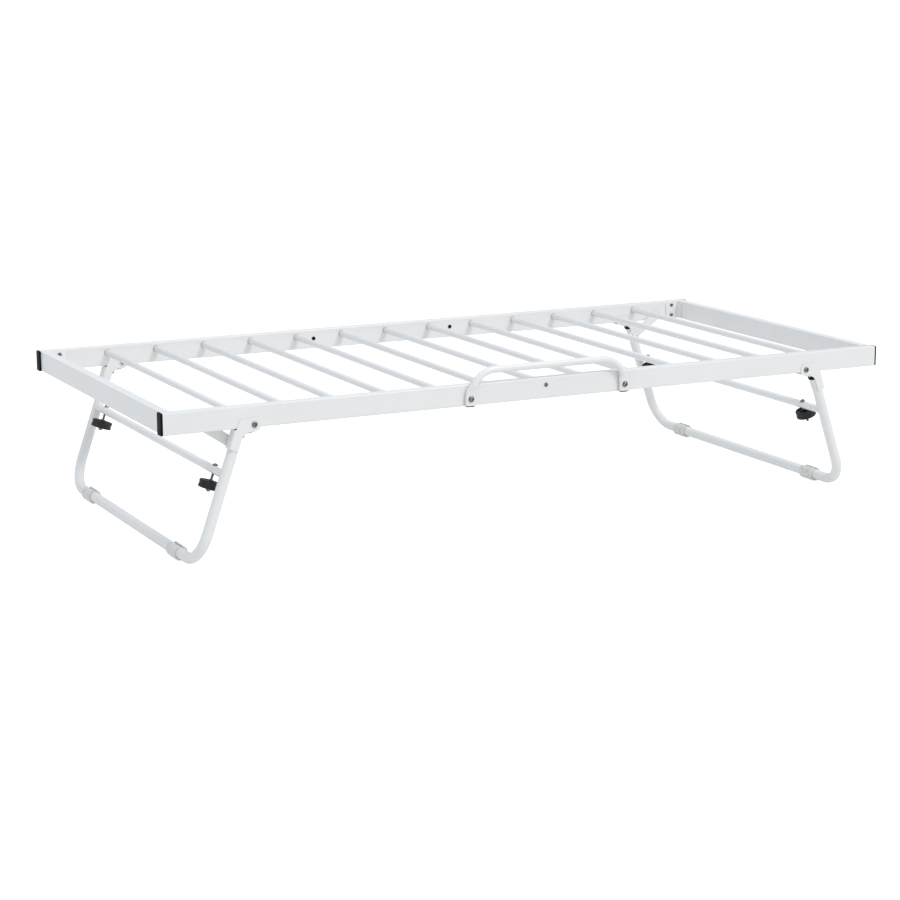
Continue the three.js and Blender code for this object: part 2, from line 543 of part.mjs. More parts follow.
/** Flat arm that hooks over the channel's stud. Its notch opens downward, so it lifts off the stud. */
function latchArm(sign) {
  const along = new THREE.Vector2(Math.cos(LATCH_ANGLE), -Math.sin(LATCH_ANGLE));
  const above = new THREE.Vector2(Math.sin(LATCH_ANGLE), Math.cos(LATCH_ANGLE));
  const armPoint = (t, s) => new THREE.Vector2(latchPivot.x, latchPivot.z)
    .addScaledVector(along, t).addScaledVector(above, s);
  const outline = new THREE.Shape();
  const low = armPoint(0, -LATCH_HALF_WIDTH);
  const tip = LATCH_SPAN + LATCH_TIP;
  outline.moveTo(low.x, low.y);
  for (const [t, s] of [[tip - LATCH_CHAMFER, -LATCH_HALF_WIDTH], [tip, -LATCH_HALF_WIDTH + LATCH_CHAMFER],
    [tip, LATCH_HALF_WIDTH - LATCH_CHAMFER], [tip - LATCH_CHAMFER, LATCH_HALF_WIDTH], [0, LATCH_HALF_WIDTH]]) {
    const p = armPoint(t, s);
    outline.lineTo(p.x, p.y);
  }
  const rise = Math.PI / 2 - LATCH_ANGLE;
  outline.absarc(latchPivot.x, latchPivot.z, LATCH_HALF_WIDTH, rise, rise + Math.PI);
  const yNear = sign * (railMidY - latchPlane);
  const yFar = yNear - sign * LATCH_SHEET;
  const arm = plate(outline, Math.min(yNear, yFar), Math.max(yNear, yFar));

  // Notch: a round seat over the stud and two walls, one along the arc that the stud follows as the
  // arm lifts, the other along its arc as the leg folds
  const seat = LATCH_STUD_RADIUS + LATCH_SEAT_GAP;
  const fromLeg = new THREE.Vector2(latchStud.x - pivot.x, latchStud.z - pivotZ);
  const beyond = armPoint(LATCH_SPAN + 60, -60);
  const mouth = new THREE.Shape();
  mouth.absarc(latchStud.x, latchStud.z, seat, fromLeg.angle() - Math.PI, Math.PI - LATCH_ANGLE);
  mouth.absarc(latchPivot.x, latchPivot.z, LATCH_SPAN - seat, -LATCH_ANGLE,
    -LATCH_ANGLE - LATCH_NOTCH_SWING, true);
  mouth.lineTo(beyond.x, beyond.y);
  mouth.absarc(pivot.x, pivotZ, fromLeg.length() - seat, fromLeg.angle() + LATCH_NOTCH_SWING,
    fromLeg.angle(), true);
  return cut(arm, [
    plate(mouth, yNear - 10, yNear + 10),
    rodY(latchPivot.x, latchPivot.z, yNear - 10, yNear + 10, BOLT_RADIUS + BOLT_CLEARANCE, BORE_FLATS),
  ]);
}

/** Roller: a solid black wheel with a recessed face round its hub. */
function rollerWheel(y, drop) {
  const half = WHEEL_WIDTH / 2;
  const bore = BOLT_RADIUS + BOLT_CLEARANCE;
  const floor = half - WHEEL_DISH_DEPTH;
  const upper = [
    [WHEEL_RADIUS, half - WHEEL_EDGE], [WHEEL_RADIUS - WHEEL_EDGE, half], [WHEEL_DISH_RADIUS, half],
    [WHEEL_DISH_RADIUS, floor], [WHEEL_HUB, floor], [WHEEL_HUB, half], [bore, half],
  ];
  const lower = upper.map(([r, h]) => [r, -h]).reverse();
  return turned([...lower, ...upper, lower[0]], legPoint(CROSSBAR_REACH + drop, LEG_OFFSET, y), down, 20);
}

/** Axle bolt: a head on the crossbar, a shank through the wheel, a nut and its thread below it. */
function axleBolt(y, drop, end) {
  const seat = CROSSBAR_RADIUS + GAP;
  const nut = drop + WHEEL_WIDTH / 2 + GAP;
  const wheelTop = drop - WHEEL_WIDTH / 2 - GAP;
  const shank = BOLT_RADIUS;
  const spacer = wheelTop - seat < SPACER_MOST
    ? [[shank, seat], [SPACER_RADIUS, seat], [SPACER_RADIUS, wheelTop], [shank, wheelTop]] : [];
  return turned([
    ...AXLE_HEAD_PROFILE.map(([r, h]) => [r, h - seat]), [shank, -seat], ...spacer,
    [shank, nut], [NUT_RADIUS, nut], [NUT_RADIUS, nut + NUT_HEIGHT], [shank, nut + NUT_HEIGHT],
    [shank, end], [0, end],
  ], legPoint(CROSSBAR_REACH, LEG_OFFSET, y), down, 10);
}

/** Pivot bolt: round head outside the cheek, nut inside the other one. */
function pivotBolt(sign) {
  const nut = 2 * cheekOuter + 2 * GAP;
  return turned([
    ...PIVOT_HEAD_PROFILE, [BOLT_RADIUS, 0], [BOLT_RADIUS, nut], [NUT_RADIUS, nut], [NUT_RADIUS, nut + NUT_HEIGHT],
    [BOLT_RADIUS, nut + NUT_HEIGHT], [BOLT_RADIUS, nut + NUT_HEIGHT + BOLT_TIP], [0, nut + NUT_HEIGHT + BOLT_TIP],
  ], new THREE.Vector3(pivot.x, sign * (railMidY + cheekOuter + GAP), pivotZ), new THREE.Vector3(0, -sign, 0), 12);
}

/** Foot clip: a plastic sleeve snapped over the bar, open along its top, with a flat sole. */
function footClip(sign) {
  const centre = legPoint(barReach, LEG_OFFSET, sign * CLIP_Y);
  const sleeve = (length, radius) => rodY(centre.x, centre.z, centre.y - length / 2, centre.y + length / 2,
    radius, 24);
  return cut(sleeve(CLIP_LENGTH, FOOT_RADIUS + CLIP_BULGE), [
    sleeve(2 * CLIP_LENGTH, LEG_RADIUS + GAP),
    boxAt(centre.x, centre.y, centre.z + 20, CLIP_SLOT, 2 * CLIP_LENGTH, 40),
    boxAt(centre.x, centre.y, centre.z - FOOT_RADIUS - 10, 4 * FOOT_RADIUS, 2 * CLIP_LENGTH, 20),
  ]);
}

/** Black plug in the cut top of a leg tube: a core inside the tube and a head that leans inward,
 * laps over the tube's open side and is cut slantwise along the rail's underside, as the fold stop. */
function tubePlug(sign) {
  const y = sign * railMidY;
  const upTo = LEG_TOP_CUT - 24;
  const core = LEG_RADIUS - LEG_WALL - GAP;
  const stem = rod(legPoint(upTo, LEG_OFFSET, y), legPoint(LEG_TOP_CUT + PLUG_CORE_DEPTH, LEG_OFFSET, y), core);
  const head = rod(legPoint(upTo, LEG_OFFSET, y), legPoint(LEG_TOP_CUT - GAP, LEG_OFFSET, y), PLUG_RADIUS);
  const leaning = rod(legPoint(upTo, LEG_OFFSET - PLUG_LEAN, y),
    legPoint(LEG_TOP_CUT + PLUG_SKIRT, LEG_OFFSET - PLUG_LEAN, y), PLUG_RADIUS);
  const tube = rod(legPoint(LEG_TOP_CUT - GAP, LEG_OFFSET, y),
    legPoint(LEG_TOP_CUT + 2 * PLUG_SKIRT, LEG_OFFSET, y), LEG_RADIUS + GAP);
  const railSide = boxAt(pivot.x - 40, y, railBottom - PLUG_RAIL_GAP + 30, 120, 40, 60);
  const lip = solid(leaning).subtract(solid(tube));
  return geometryOf(lip.add(solid(head)).add(solid(stem)).subtract(solid(railSide)));
}

/** Everything on one folding leg, built on the left; the right one is the same turned half round. */
function addLeg(end) {
  const leg = new THREE.Group();
  const sides = end === 'left' ? [['front', -1], ['back', 1]] : [['back', -1], ['front', 1]];
  const wheelYs = sides.map(([side, sign]) => sign * WHEEL_Y[end][side]);
  addPiece(leg, `${end}_leg_frame`, legFrame(), whitePowderCoat);
  addPiece(leg, `${end}_crossbar`, crossbar(wheelYs), whitePowderCoat);
  addPiece(leg, `${end}_latch_arm`, latchArm(-1), whitePowderCoat);
  sides.forEach(([side, sign], i) => {
    const name = (piece) => `${side}_${end}_${piece}`;
    addPiece(leg, name('hinge_channel'), hingeChannel(sign, sign < 0), whitePowderCoat);
    addPiece(leg, name('pivot_bolt'), pivotBolt(sign), zincPlate);
    addPiece(leg, name('tube_plug'), tubePlug(sign), blackPlastic);
    addPiece(leg, name('wheel'), rollerWheel(wheelYs[i], WHEEL_DROP[end]), blackPlastic);
    addPiece(leg, name('axle_bolt'), axleBolt(wheelYs[i], WHEEL_DROP[end], AXLE_END[end]), zincPlate);
    addPiece(leg, name('foot_clip'), footClip(sign), creamPlastic);
  });
  if (end === 'right') leg.rotation.z = Math.PI;
  bed.add(leg);
}

addBedFrame();
addPullHandle();
addLeg('left');
addLeg('right');

// The origin is under the middle of the overall box
const middle = new THREE.Box3().setFromObject(bed).getCenter(new THREE.Vector3());
bed.position.set(-middle.x, -middle.y, 0);
bed.updateMatrixWorld(true);

export default bed;
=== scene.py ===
"""Trundle bed: a white powder-coated slatted frame on two folding U-shaped legs with black rollers.

Every piece is a surface worked out as whole numpy arrays. Metres, +Z up, X along the bed, the pull
handle on the -Y side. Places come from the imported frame: node boxes, joint axes and joint points.
"""

import json
import math

import bmesh
import bpy
import numpy as np
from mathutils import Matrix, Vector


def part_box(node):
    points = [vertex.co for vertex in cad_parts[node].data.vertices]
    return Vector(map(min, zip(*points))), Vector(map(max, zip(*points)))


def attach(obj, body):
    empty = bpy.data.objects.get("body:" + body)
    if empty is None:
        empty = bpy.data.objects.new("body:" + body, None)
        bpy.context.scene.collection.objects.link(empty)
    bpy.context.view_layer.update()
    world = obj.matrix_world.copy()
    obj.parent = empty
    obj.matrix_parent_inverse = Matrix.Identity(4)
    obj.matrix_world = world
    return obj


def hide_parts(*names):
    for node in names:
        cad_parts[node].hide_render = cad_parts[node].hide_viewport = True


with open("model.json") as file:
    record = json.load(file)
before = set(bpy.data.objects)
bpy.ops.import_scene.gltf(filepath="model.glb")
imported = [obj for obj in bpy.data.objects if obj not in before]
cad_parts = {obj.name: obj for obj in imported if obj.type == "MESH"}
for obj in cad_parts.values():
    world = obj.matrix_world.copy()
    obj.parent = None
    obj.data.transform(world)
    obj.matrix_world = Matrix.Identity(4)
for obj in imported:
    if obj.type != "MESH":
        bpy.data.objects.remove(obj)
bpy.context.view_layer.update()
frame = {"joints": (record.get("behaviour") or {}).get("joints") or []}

MM = 0.001
X, Y, Z = np.eye(3)


# ---- Where things are, read from the frame ------------------------------------------------------
def low_high(node):
    """Lowest and highest corner of a CAD node, as arrays."""
    low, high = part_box(node)
    return np.array(low), np.array(high)


def centre(node):
    """Middle of a CAD node's box."""
    low, high = low_high(node)
    return (low + high) / 2


JOINTS = {joint["name"]: joint for joint in frame["joints"]}
FRONT_HIGH = low_high("front_rail")[1]
BED_MIDDLE = (centre("front_left_rail_cap") + centre("back_right_rail_cap")) / 2
SIDE_SIGN = {"front": -1, "back": 1}
END_SIGN = {"left": -1, "right": 1}

GAP = 0.3 * MM
RAIL_THICKNESS, RAIL_HEIGHT = 25 * MM, 50 * MM
RAIL_CORNER, RAIL_WALL = 3 * MM, 1.5 * MM
RAIL_TOP = FRONT_HIGH[2]
RAIL_BOTTOM = RAIL_TOP - RAIL_HEIGHT
RAIL_MID_Z = RAIL_TOP - RAIL_HEIGHT / 2
RAIL_MID_Y = centre("back_left_rail_cap")[1] - BED_MIDDLE[1]  # from the bed's centre line
RAIL_INNER_Y = RAIL_MID_Y - RAIL_THICKNESS / 2
RAIL_OUTER_Y = RAIL_MID_Y + RAIL_THICKNESS / 2
RAIL_END_X = FRONT_HIGH[0]
CENTRE_Y = BED_MIDDLE[1]

SLATS = [f"slat_{i:02d}" for i in range(1, 14)]
SLAT_RADIUS, SLAT_WALL, SLAT_HOLE = 8 * MM, 1.2 * MM, 8.6 * MM
SLAT_Z = centre("slat_01")[2]

HANDLE_FLAT_WIDE = 12.5 * MM  # half width of the handle's flattened ends
HANDLE_X = low_high("pull_handle")[1][0] - HANDLE_FLAT_WIDE
HANDLE_BOLT_Z = centre("handle_bolt_right")[2]

LEG_RADIUS, LEG_WALL, LEG_BEND = 12.5 * MM, 1.5 * MM, 70 * MM
LEG_OFFSET = 25.75 * MM
LEG_TOP_CUT = 26 * MM
CROSSBAR_RADIUS, CROSSBAR_WALL = 9.5 * MM, 1.2 * MM
CROSSBAR_REACH = 126 * MM
CHANNEL_SHEET, CHANNEL_CORNER = 1.8 * MM, 4 * MM
CHANNEL_END, CHANNEL_LIP, CHANNEL_EAR = 67 * MM, 19 * MM, 16 * MM
BEND_RISE = 2 * MM  # the channel's bend starts this far above the pivot's level
WEB_GAP = 1.8 * MM
CHEEK_INNER = RAIL_THICKNESS / 2 + GAP
CHEEK_OUTER = CHEEK_INNER + CHANNEL_SHEET
WHEEL_RADIUS, WHEEL_WIDTH = 25 * MM, 18 * MM
AXLE_END = {"left": 50.5 * MM, "right": 46 * MM}  # bolt's end below the crossbar's axis
LATCH_HALF, LATCH_TIP, LATCH_CHAMFER, LATCH_SEAT = 12.5 * MM, 13 * MM, 3 * MM, 4.5 * MM
LATCH_SLOPE = math.radians(34)
LATCH_STUD = (54 * MM, 26 * MM)  # down the leg and out from the pivot
FOOT_HEIGHT = 17 * MM  # leg frame's axis above the floor along its foot bar
BOLT = 3 * MM
BOLT_HOLE = BOLT + 0.4 * MM
AIR = 0.05 * MM  # between a screw head and what it sits on


# ---- Surfaces as arrays -------------------------------------------------------------------------
def quads(rows, columns, wrap_rows=False, wrap_columns=True):
    """Faces of a grid, row by row: each face joins a point to the next in its row and the two above."""
    r = np.arange(rows if wrap_rows else rows - 1)[:, None]
    c = np.arange(columns if wrap_columns else columns - 1)[None, :]
    r2, c2 = (r + 1) % rows, (c + 1) % columns
    corners = [r * columns + c, r * columns + c2, r2 * columns + c2, r2 * columns + c]
    return np.stack(corners, -1).reshape(-1, 4)


def loft(rings, closed=False, capped=True):
    """Skin through rings[row, point, xyz], each ring closed on itself.

    closed joins the last ring to the first one; capped closes both ends with a fan round each ring's mean.
    """
    rings = np.asarray(rings, float)
    rows, columns = rings.shape[:2]
    points, faces = rings.reshape(-1, 3), quads(rows, columns, closed).tolist()
    if capped and not closed:
        points = np.vstack([points, rings[0].mean(0), rings[-1].mean(0)])
        i, j = np.arange(columns), (np.arange(columns) + 1) % columns
        last = (rows - 1) * columns
        faces += np.stack([j, i, np.full(columns, rows * columns)], -1).tolist()
        faces += np.stack([last + i, last + j, np.full(columns, rows * columns + 1)], -1).tolist()
    return points, faces


def axes_across(direction):
    """Two unit vectors square to a direction and to each other."""
    direction = np.asarray(direction, float) / np.linalg.norm(direction)
    first = np.cross(direction, Y if abs(direction[1]) < 0.9 else X)
    first /= np.linalg.norm(first)
    return first, np.cross(direction, first)


def full_turn(steps):
    """Angles of a whole turn in equal steps, without the last one, which is the first again."""
    return np.linspace(0, 2 * math.pi, steps, endpoint=False)


def rings_about(origin, direction, h, r, steps):
    """Rings round an axis: point = origin + h * direction + r * (cos a * u + sin a * v).

    u and v lie across the axis. h and r hold one row per ring, with one value or one per angle.
    """
    a = full_turn(steps)
    first, second = axes_across(direction)
    spokes = np.cos(a)[:, None] * first + np.sin(a)[:, None] * second
    return np.asarray(origin) + h[..., None] * np.asarray(direction) + r[..., None] * spokes


def turned(profile, origin, direction, steps=32):
    """Turned piece: a line of (r, h) points swept round its axis, r out from it and h along it."""
    r, h = np.asarray(profile, float).T
    rings = rings_about(origin, direction, h[:, None], r[:, None], steps)
    return loft(rings, closed=bool(r[0] > 0), capped=False)


def rounded(points, radius, steps=4):
    """A line of (r, h) corners with each inner corner turned into a quarter-like arc.

    The arc is the quadratic through the two points at radius from the corner, pulled to the corner.
    """
    points = np.asarray(points, float)
    back = points[:-2] - points[1:-1]
    ahead = points[2:] - points[1:-1]
    lengths = [np.linalg.norm(v, axis=1, keepdims=True) for v in (back, ahead)]
    reach = np.minimum(radius, np.minimum(*lengths) * 0.45)
    start = points[1:-1] + back / lengths[0] * reach
    end = points[1:-1] + ahead / lengths[1] * reach
    t = np.linspace(0, 1, steps + 1)[None, :, None]
    arcs = (1 - t) ** 2 * start[:, None] + 2 * t * (1 - t) * points[1:-1, None] + t ** 2 * end[:, None]
    return np.vstack([points[:1], arcs.reshape(-1, 2), points[-1:]])


def length_along(points):
    """Length along a line of points, from its first one."""
    return np.concatenate([[0], np.cumsum(np.linalg.norm(np.diff(points, axis=0), axis=1))])


def rounded_section(width, height, radius, steps=6, margin=0.4 * MM):
    """Rectangle of width x height with round corners, as points (a, b) round its edge.

    Each corner is an arc of equal steps, with one more point a margin along each flat.
    """
    a = np.linspace(0, math.pi / 2, steps + 1)
    arc = radius * np.stack([np.cos(a), np.sin(a)], -1)
    corner = np.vstack([arc[0] - (0, margin), arc, arc[-1] - (margin, 0)])
    quarter = corner + (width / 2 - radius, height / 2 - radius)
    flip_a = quarter[::-1] * (-1, 1)
    return np.vstack([quarter, flip_a, -quarter, -flip_a])


def circle_section(radius, steps=32):
    """Circle as points (a, b) = radius * (cos, sin)."""
    a = full_turn(steps)
    return radius * np.stack([np.cos(a), np.sin(a)], -1)


def squared_circle(steps=40):
    """Unit circle pulled a little towards a square: sign(c) * |c| ** 0.8 of each coordinate."""
    ring = circle_section(1, steps)
    return np.sign(ring) * np.abs(ring) ** 0.8


def bent_line(corners, radius, steps=20):
    """Points and headings along straight runs whose corners are arcs of a bend radius, in one plane."""
    corners = np.asarray(corners, float)
    points, headings = [corners[0]], [corners[1] - corners[0]]
    for before, corner, after in zip(corners[:-2], corners[1:-1], corners[2:]):
        u = (corner - before) / np.linalg.norm(corner - before)
        v = (after - corner) / np.linalg.norm(after - corner)
        bend = math.acos(float(np.clip(u @ v, -1, 1)))
        side = (v - u * (u @ v)) / math.sin(bend)
        start = corner - u * radius * math.tan(bend / 2)
        a = np.linspace(0, bend, steps + 1)[:, None]
        points.extend(start + radius * (np.sin(a) * u + (1 - np.cos(a)) * side))
        headings.extend(np.cos(a) * u + np.sin(a) * side)
    points.append(corners[-1])
    headings.append(corners[-1] - corners[-2])
    headings = np.array(headings)
    return np.array(points), headings / np.linalg.norm(headings, axis=1, keepdims=True)


def carried(section, points, headings, flat_normal):
    """Rings of a section carried along a path in one plane: point + a * across + b * normal of the plane."""
    normal = np.asarray(flat_normal, float)
    across = np.cross(headings, normal)
    across /= np.linalg.norm(across, axis=-1, keepdims=True)
    section = np.broadcast_to(section, (len(points),) + np.shape(section)[-2:])
    return points[:, None] + section[..., :1] * across[:, None] + section[..., 1:] * normal


def tube_wall(outer, inner):
    """A hollow tube: out along the outer rings, back along the inner ones, joined at both ends."""
    return loft(np.concatenate([outer, inner[::-1]]), closed=True)


def straight_tube(start, end, outer, inner, up, soften=0.5 * MM):
    """Straight hollow tube from an outer and an inner section; the outer one shrinks near both ends."""
    start, end = np.asarray(start, float), np.asarray(end, float)
    heading = (end - start) / np.linalg.norm(end - start)
    length = np.linalg.norm(end - start)
    stations = np.array([0, soften * 0.3, soften, length / 2, length - soften, length - soften * 0.3, length])
    shrink = np.array([0.4, 0.12, 0, 0, 0, 0.12, 0.4])
    wall = np.abs(outer).max() - np.abs(inner).max()
    scale = 1 - shrink[:, None, None] * wall / np.abs(outer).max()
    points = start + stations[:, None] * heading
    headings = np.repeat(heading[None], len(stations), 0)
    return tube_wall(carried(outer * scale, points, headings, up), carried(inner, points, headings, up))


def ripple_bead(curve, radius, ripples, across, closed=True):
    """Weld bead: a round cord along a curve, with radius * (0.86 + 0.14 * |sin(pi * ripples * t)|)."""
    curve = np.asarray(curve, float)
    steps = len(curve)
    ahead = np.roll(curve, -1, 0) - np.roll(curve, 1, 0)
    if not closed:
        ahead[0], ahead[-1] = curve[1] - curve[0], curve[-1] - curve[-2]
    ahead /= np.linalg.norm(ahead, axis=1, keepdims=True)
    first = np.cross(ahead, across)
    first /= np.linalg.norm(first, axis=1, keepdims=True)
    second = np.cross(ahead, first)
    t = np.linspace(0, 1, steps, endpoint=not closed)
    size = radius * (0.86 + 0.14 * np.abs(np.sin(math.pi * ripples * t)))
    if not closed:
        size = size * np.sqrt(np.clip(1 - (2 * t - 1) ** 6, 0.02, 1))
    a = full_turn(12)[:, None, None]
    spokes = np.cos(a) * first + np.sin(a) * second
    rings = (curve + size[:, None] * spokes).transpose(1, 0, 2)
    return loft(rings, closed=closed)


def driven_head(radius, height, origin, direction, recess, steps=72):
    """Screw head as a height over a disc: z(r, a) = dome - recess.

    The dome is a superellipse of r. The recess is a flat-bottomed pit inside a smooth mask:
    'cross' is where the smaller of |x|, |y| is under a blade's half width, 'hex' where the
    largest of three across-flats distances is under the socket's half width.
    """
    share = np.concatenate([np.linspace(0, 0.72, 25), np.linspace(0.76, 1, 9)])
    a = full_turn(steps)
    r = (share * radius)[:, None]
    x, y = r * np.cos(a), r * np.sin(a)
    dome = height * (1 - 0.999 * share ** 3.2)[:, None] ** 0.55
    if recess == "cross":
        narrow, wide = np.minimum(np.abs(x), np.abs(y)), np.maximum(np.abs(x), np.abs(y))
        inside = smooth(narrow, 0.16 * radius, 0.10 * radius) * smooth(wide, 0.62 * radius, 0.52 * radius)
    else:
        turns = np.array([0, math.pi / 3, 2 * math.pi / 3])[:, None, None]
        across = np.abs(x * np.cos(turns) + y * np.sin(turns)).max(0)
        inside = smooth(across, 0.44 * radius, 0.39 * radius)
    top = dome - inside * np.minimum(0.62 * height, dome)
    rings = rings_about(origin, direction, top, r, steps)
    base = np.asarray(origin) + (rings[-1:] - origin) * 0.96 - 0.02 * MM * np.asarray(direction)
    return loft(np.concatenate([rings, base]), capped=True)


def smooth(value, high, low):
    """1 under low, 0 over high, an S-curve between."""
    t = np.clip((high - value) / (high - low), 0, 1)
    return t * t * (3 - 2 * t)


def hex_prism(across_flats, base, height, origin, direction, bore=0.0, steps=48):
    """Hexagon with chamfered corners about an axis, from base to base + height.

    Radius over the angle is the hexagon's, flats / 2 / cos(angle from the flat), cut down to a cone
    near both ends; a bore leaves a hole through it.
    """
    hexagon = across_flats / 2 / np.cos((full_turn(steps) % (math.pi / 3)) - math.pi / 6)
    chamfer = across_flats * 0.06
    heights = np.array([0, chamfer * 0.5, chamfer, height - chamfer, height - chamfer * 0.5, height])
    limits = across_flats / 2 * np.array([0.97, 1.06, 1.2, 1.2, 1.06, 0.97])
    radii = np.minimum(hexagon[None], limits[:, None])
    if bore:
        ring = np.full((1, steps), bore)
        radii = np.vstack([ring, radii, ring])
        heights = np.concatenate([heights[:1], heights, heights[-1:]])
    return loft(rings_about(origin, direction, (base + heights)[:, None], radii, steps), closed=bool(bore))


def threaded_rod(radius, start, end, origin, direction, pitch=1.0 * MM, steps=24):
    """Bolt shank whose radius falls and rises with each thread: r = radius - depth * (1 - cos(turns)) / 2."""
    depth, rings_per_pitch = 0.3 * MM, 6
    count = max(4, int((end - start) / pitch * rings_per_pitch))
    h = np.linspace(start, end, count)[:, None]
    r = radius - depth * (1 - np.cos(2 * math.pi * h / pitch - full_turn(steps))) / 2
    r[[0, -1]] = radius * 0.8
    return loft(rings_about(origin, direction, h, r, steps))


def small_screw(place, direction, height, length):
    """Cross-head screw: a domed head standing on a face and its thread behind the face."""
    return [driven_head(5.2 * MM, height, place, direction, "cross"),
            threaded_rod(2.3 * MM, -length, -0.1 * MM, place, direction)]


# ---- Meshes and pieces --------------------------------------------------------------------------
def clean_mesh(name, points, faces, inside=None):
    """Mesh without doubled points, facing out; an open sheet faces away from a point inside its bend."""
    mesh = bpy.data.meshes.new(name)
    mesh.from_pydata(points.tolist(), [], faces)
    work = bmesh.new()
    work.from_mesh(mesh)
    bmesh.ops.remove_doubles(work, verts=work.verts, dist=1e-7)
    bmesh.ops.dissolve_degenerate(work, edges=work.edges, dist=1e-8)
    bmesh.ops.recalc_face_normals(work, faces=work.faces)
    if inside is not None:
        outwards = sum((np.array(face.calc_center_median()) - inside) @ np.array(face.normal)
                       * face.calc_area() for face in work.faces)
        if outwards < 0:
            bmesh.ops.reverse_faces(work, faces=work.faces)
    work.to_mesh(mesh)
    work.free()
    return mesh


def mesh_of(name, parts):
    """One mesh from several closed (points, faces) bodies."""
    faces, count = [], 0
    for body_points, body_faces in parts:
        faces.extend([[i + count for i in face] for face in body_faces])
        count += len(body_points)
    return clean_mesh(name, np.vstack([body_points for body_points, _ in parts]), faces)


def placed(name, data):
    """An object with its mesh, light or camera data, linked to the scene."""
    piece = bpy.data.objects.new(name, data)
    bpy.context.scene.collection.objects.link(piece)
    return piece


def bored(piece, cutters):
    """Cuts rods out of a piece. Each cutter is (point, direction, radius, half length)."""
    tools = [turned([(0, -half), (radius, -half), (radius, half), (0, half)], point, direction, 40)
             for point, direction, radius, half in cutters]
    cutter = placed("cutter", mesh_of("cutter", tools))
    cut = piece.modifiers.new("bores", "BOOLEAN")
    cut.operation, cut.solver, cut.object = "DIFFERENCE", "EXACT", cutter
    settle(piece)
    bpy.data.objects.remove(cutter)


def settle(piece):
    """Turns a piece's modifiers into its mesh."""
    depsgraph = bpy.context.evaluated_depsgraph_get()
    made = bpy.data.meshes.new_from_object(piece.evaluated_get(depsgraph))
    old = piece.data
    piece.modifiers.clear()
    piece.data = made
    made.name = piece.name
    bpy.data.meshes.remove(old)


def bevelled(piece, width):
    """Rounds a piece's sharp edges."""
    bevel = piece.modifiers.new("edges", "BEVEL")
    bevel.width, bevel.segments, bevel.limit_method = width, 2, "ANGLE"
    bevel.angle_limit, bevel.harden_normals = math.radians(50), False
    settle(piece)


def dressed(piece, body, slot_name, replaces=(), crease=32):
    """Gives a piece its shading and material, joins it to its body and hides the nodes that it stands for."""
    piece.data.shade_smooth()
    piece.data.set_sharp_from_angle(angle=math.radians(crease))
    piece.data.materials.clear()
    piece.data.materials.append(MATERIALS[slot_name])
    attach(piece, body)
    if replaces:
        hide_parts(*replaces)


def add(name, parts, body, slot_name, replaces=(), bores=(), edge=0.0, crease=32):
    """Makes one piece from closed bodies, with rods bored out and sharp edges rounded, and dresses it."""
    piece = placed(name, mesh_of(name, parts if isinstance(parts, list) else [parts]))
    if bores:
        bored(piece, bores)
    if edge:
        bevelled(piece, edge)
    dressed(piece, body, slot_name, replaces, crease)


# ---- Finishes -----------------------------------------------------------------------------------
def feed(tree, value, socket):
    """Sets a socket to a number or a colour, or links another socket to it."""
    if isinstance(value, (int, float, tuple)):
        socket.default_value = value
    else:
        tree.links.new(value, socket)


def noise(tree, place, scale, detail=2.0, roughness=0.5):
    """Noise texture at a place."""
    node = tree.nodes.new("ShaderNodeTexNoise")
    for socket, value in (("Vector", place), ("Scale", scale), ("Detail", detail), ("Roughness", roughness)):
        feed(tree, value, node.inputs[socket])
    return node.outputs["Fac"]


def spread(tree, value, low, high, to_low, to_high):
    """Maps a range of a value to another one."""
    node = tree.nodes.new("ShaderNodeMapRange")
    sockets = ("Value", "From Min", "From Max", "To Min", "To Max")
    for socket, end in zip(sockets, (value, low, high, to_low, to_high)):
        feed(tree, end, node.inputs[socket])
    return node.outputs["Result"]


def mixed(tree, amount, first, second):
    """Colour between two colours, by an amount."""
    node = tree.nodes.new("ShaderNodeMix")
    node.data_type = "RGBA"
    for socket, end in ((node.inputs["Factor"], amount), (node.inputs[6], first), (node.inputs[7], second)):
        feed(tree, end, socket)
    return node.outputs[2]


def raised(tree, height, strength, distance):
    """Normal of a bump."""
    node = tree.nodes.new("ShaderNodeBump")
    for socket, value in (("Distance", distance), ("Strength", strength), ("Height", height)):
        feed(tree, value, node.inputs[socket])
    return node.outputs["Normal"]


def effect_group(name, colours, numbers):
    """A shader node group: a place, colours and numbers go in; colour, roughness and normal come out."""
    group = bpy.data.node_groups.new(name, "ShaderNodeTree")
    inputs = [("Place", "Vector", (0, 0, 0))]
    inputs += [(socket, "Color", value) for socket, value in colours.items()]
    inputs += [(socket, "Float", value) for socket, value in numbers.items()]
    for socket, kind, value in inputs:
        made = group.interface.new_socket(name=socket, in_out="INPUT", socket_type=f"NodeSocket{kind}")
        made.default_value = value
    for socket, kind in (("Color", "Color"), ("Roughness", "Float"), ("Normal", "Vector")):
        group.interface.new_socket(name=socket, in_out="OUTPUT", socket_type=f"NodeSocket{kind}")
    return group, group.nodes.new("NodeGroupInput").outputs, group.nodes.new("NodeGroupOutput").inputs


def put_out(group, given, out, colour, wander, normal):
    """Links a group's outputs; the roughness is the given one plus a wandering part."""
    total = group.nodes.new("ShaderNodeMath")
    group.links.new(given["Roughness"], total.inputs[0])
    group.links.new(wander, total.inputs[1])
    for value, socket in ((colour, "Color"), (total.outputs[0], "Roughness"), (normal, "Normal")):
        group.links.new(value, out[socket])
    return group


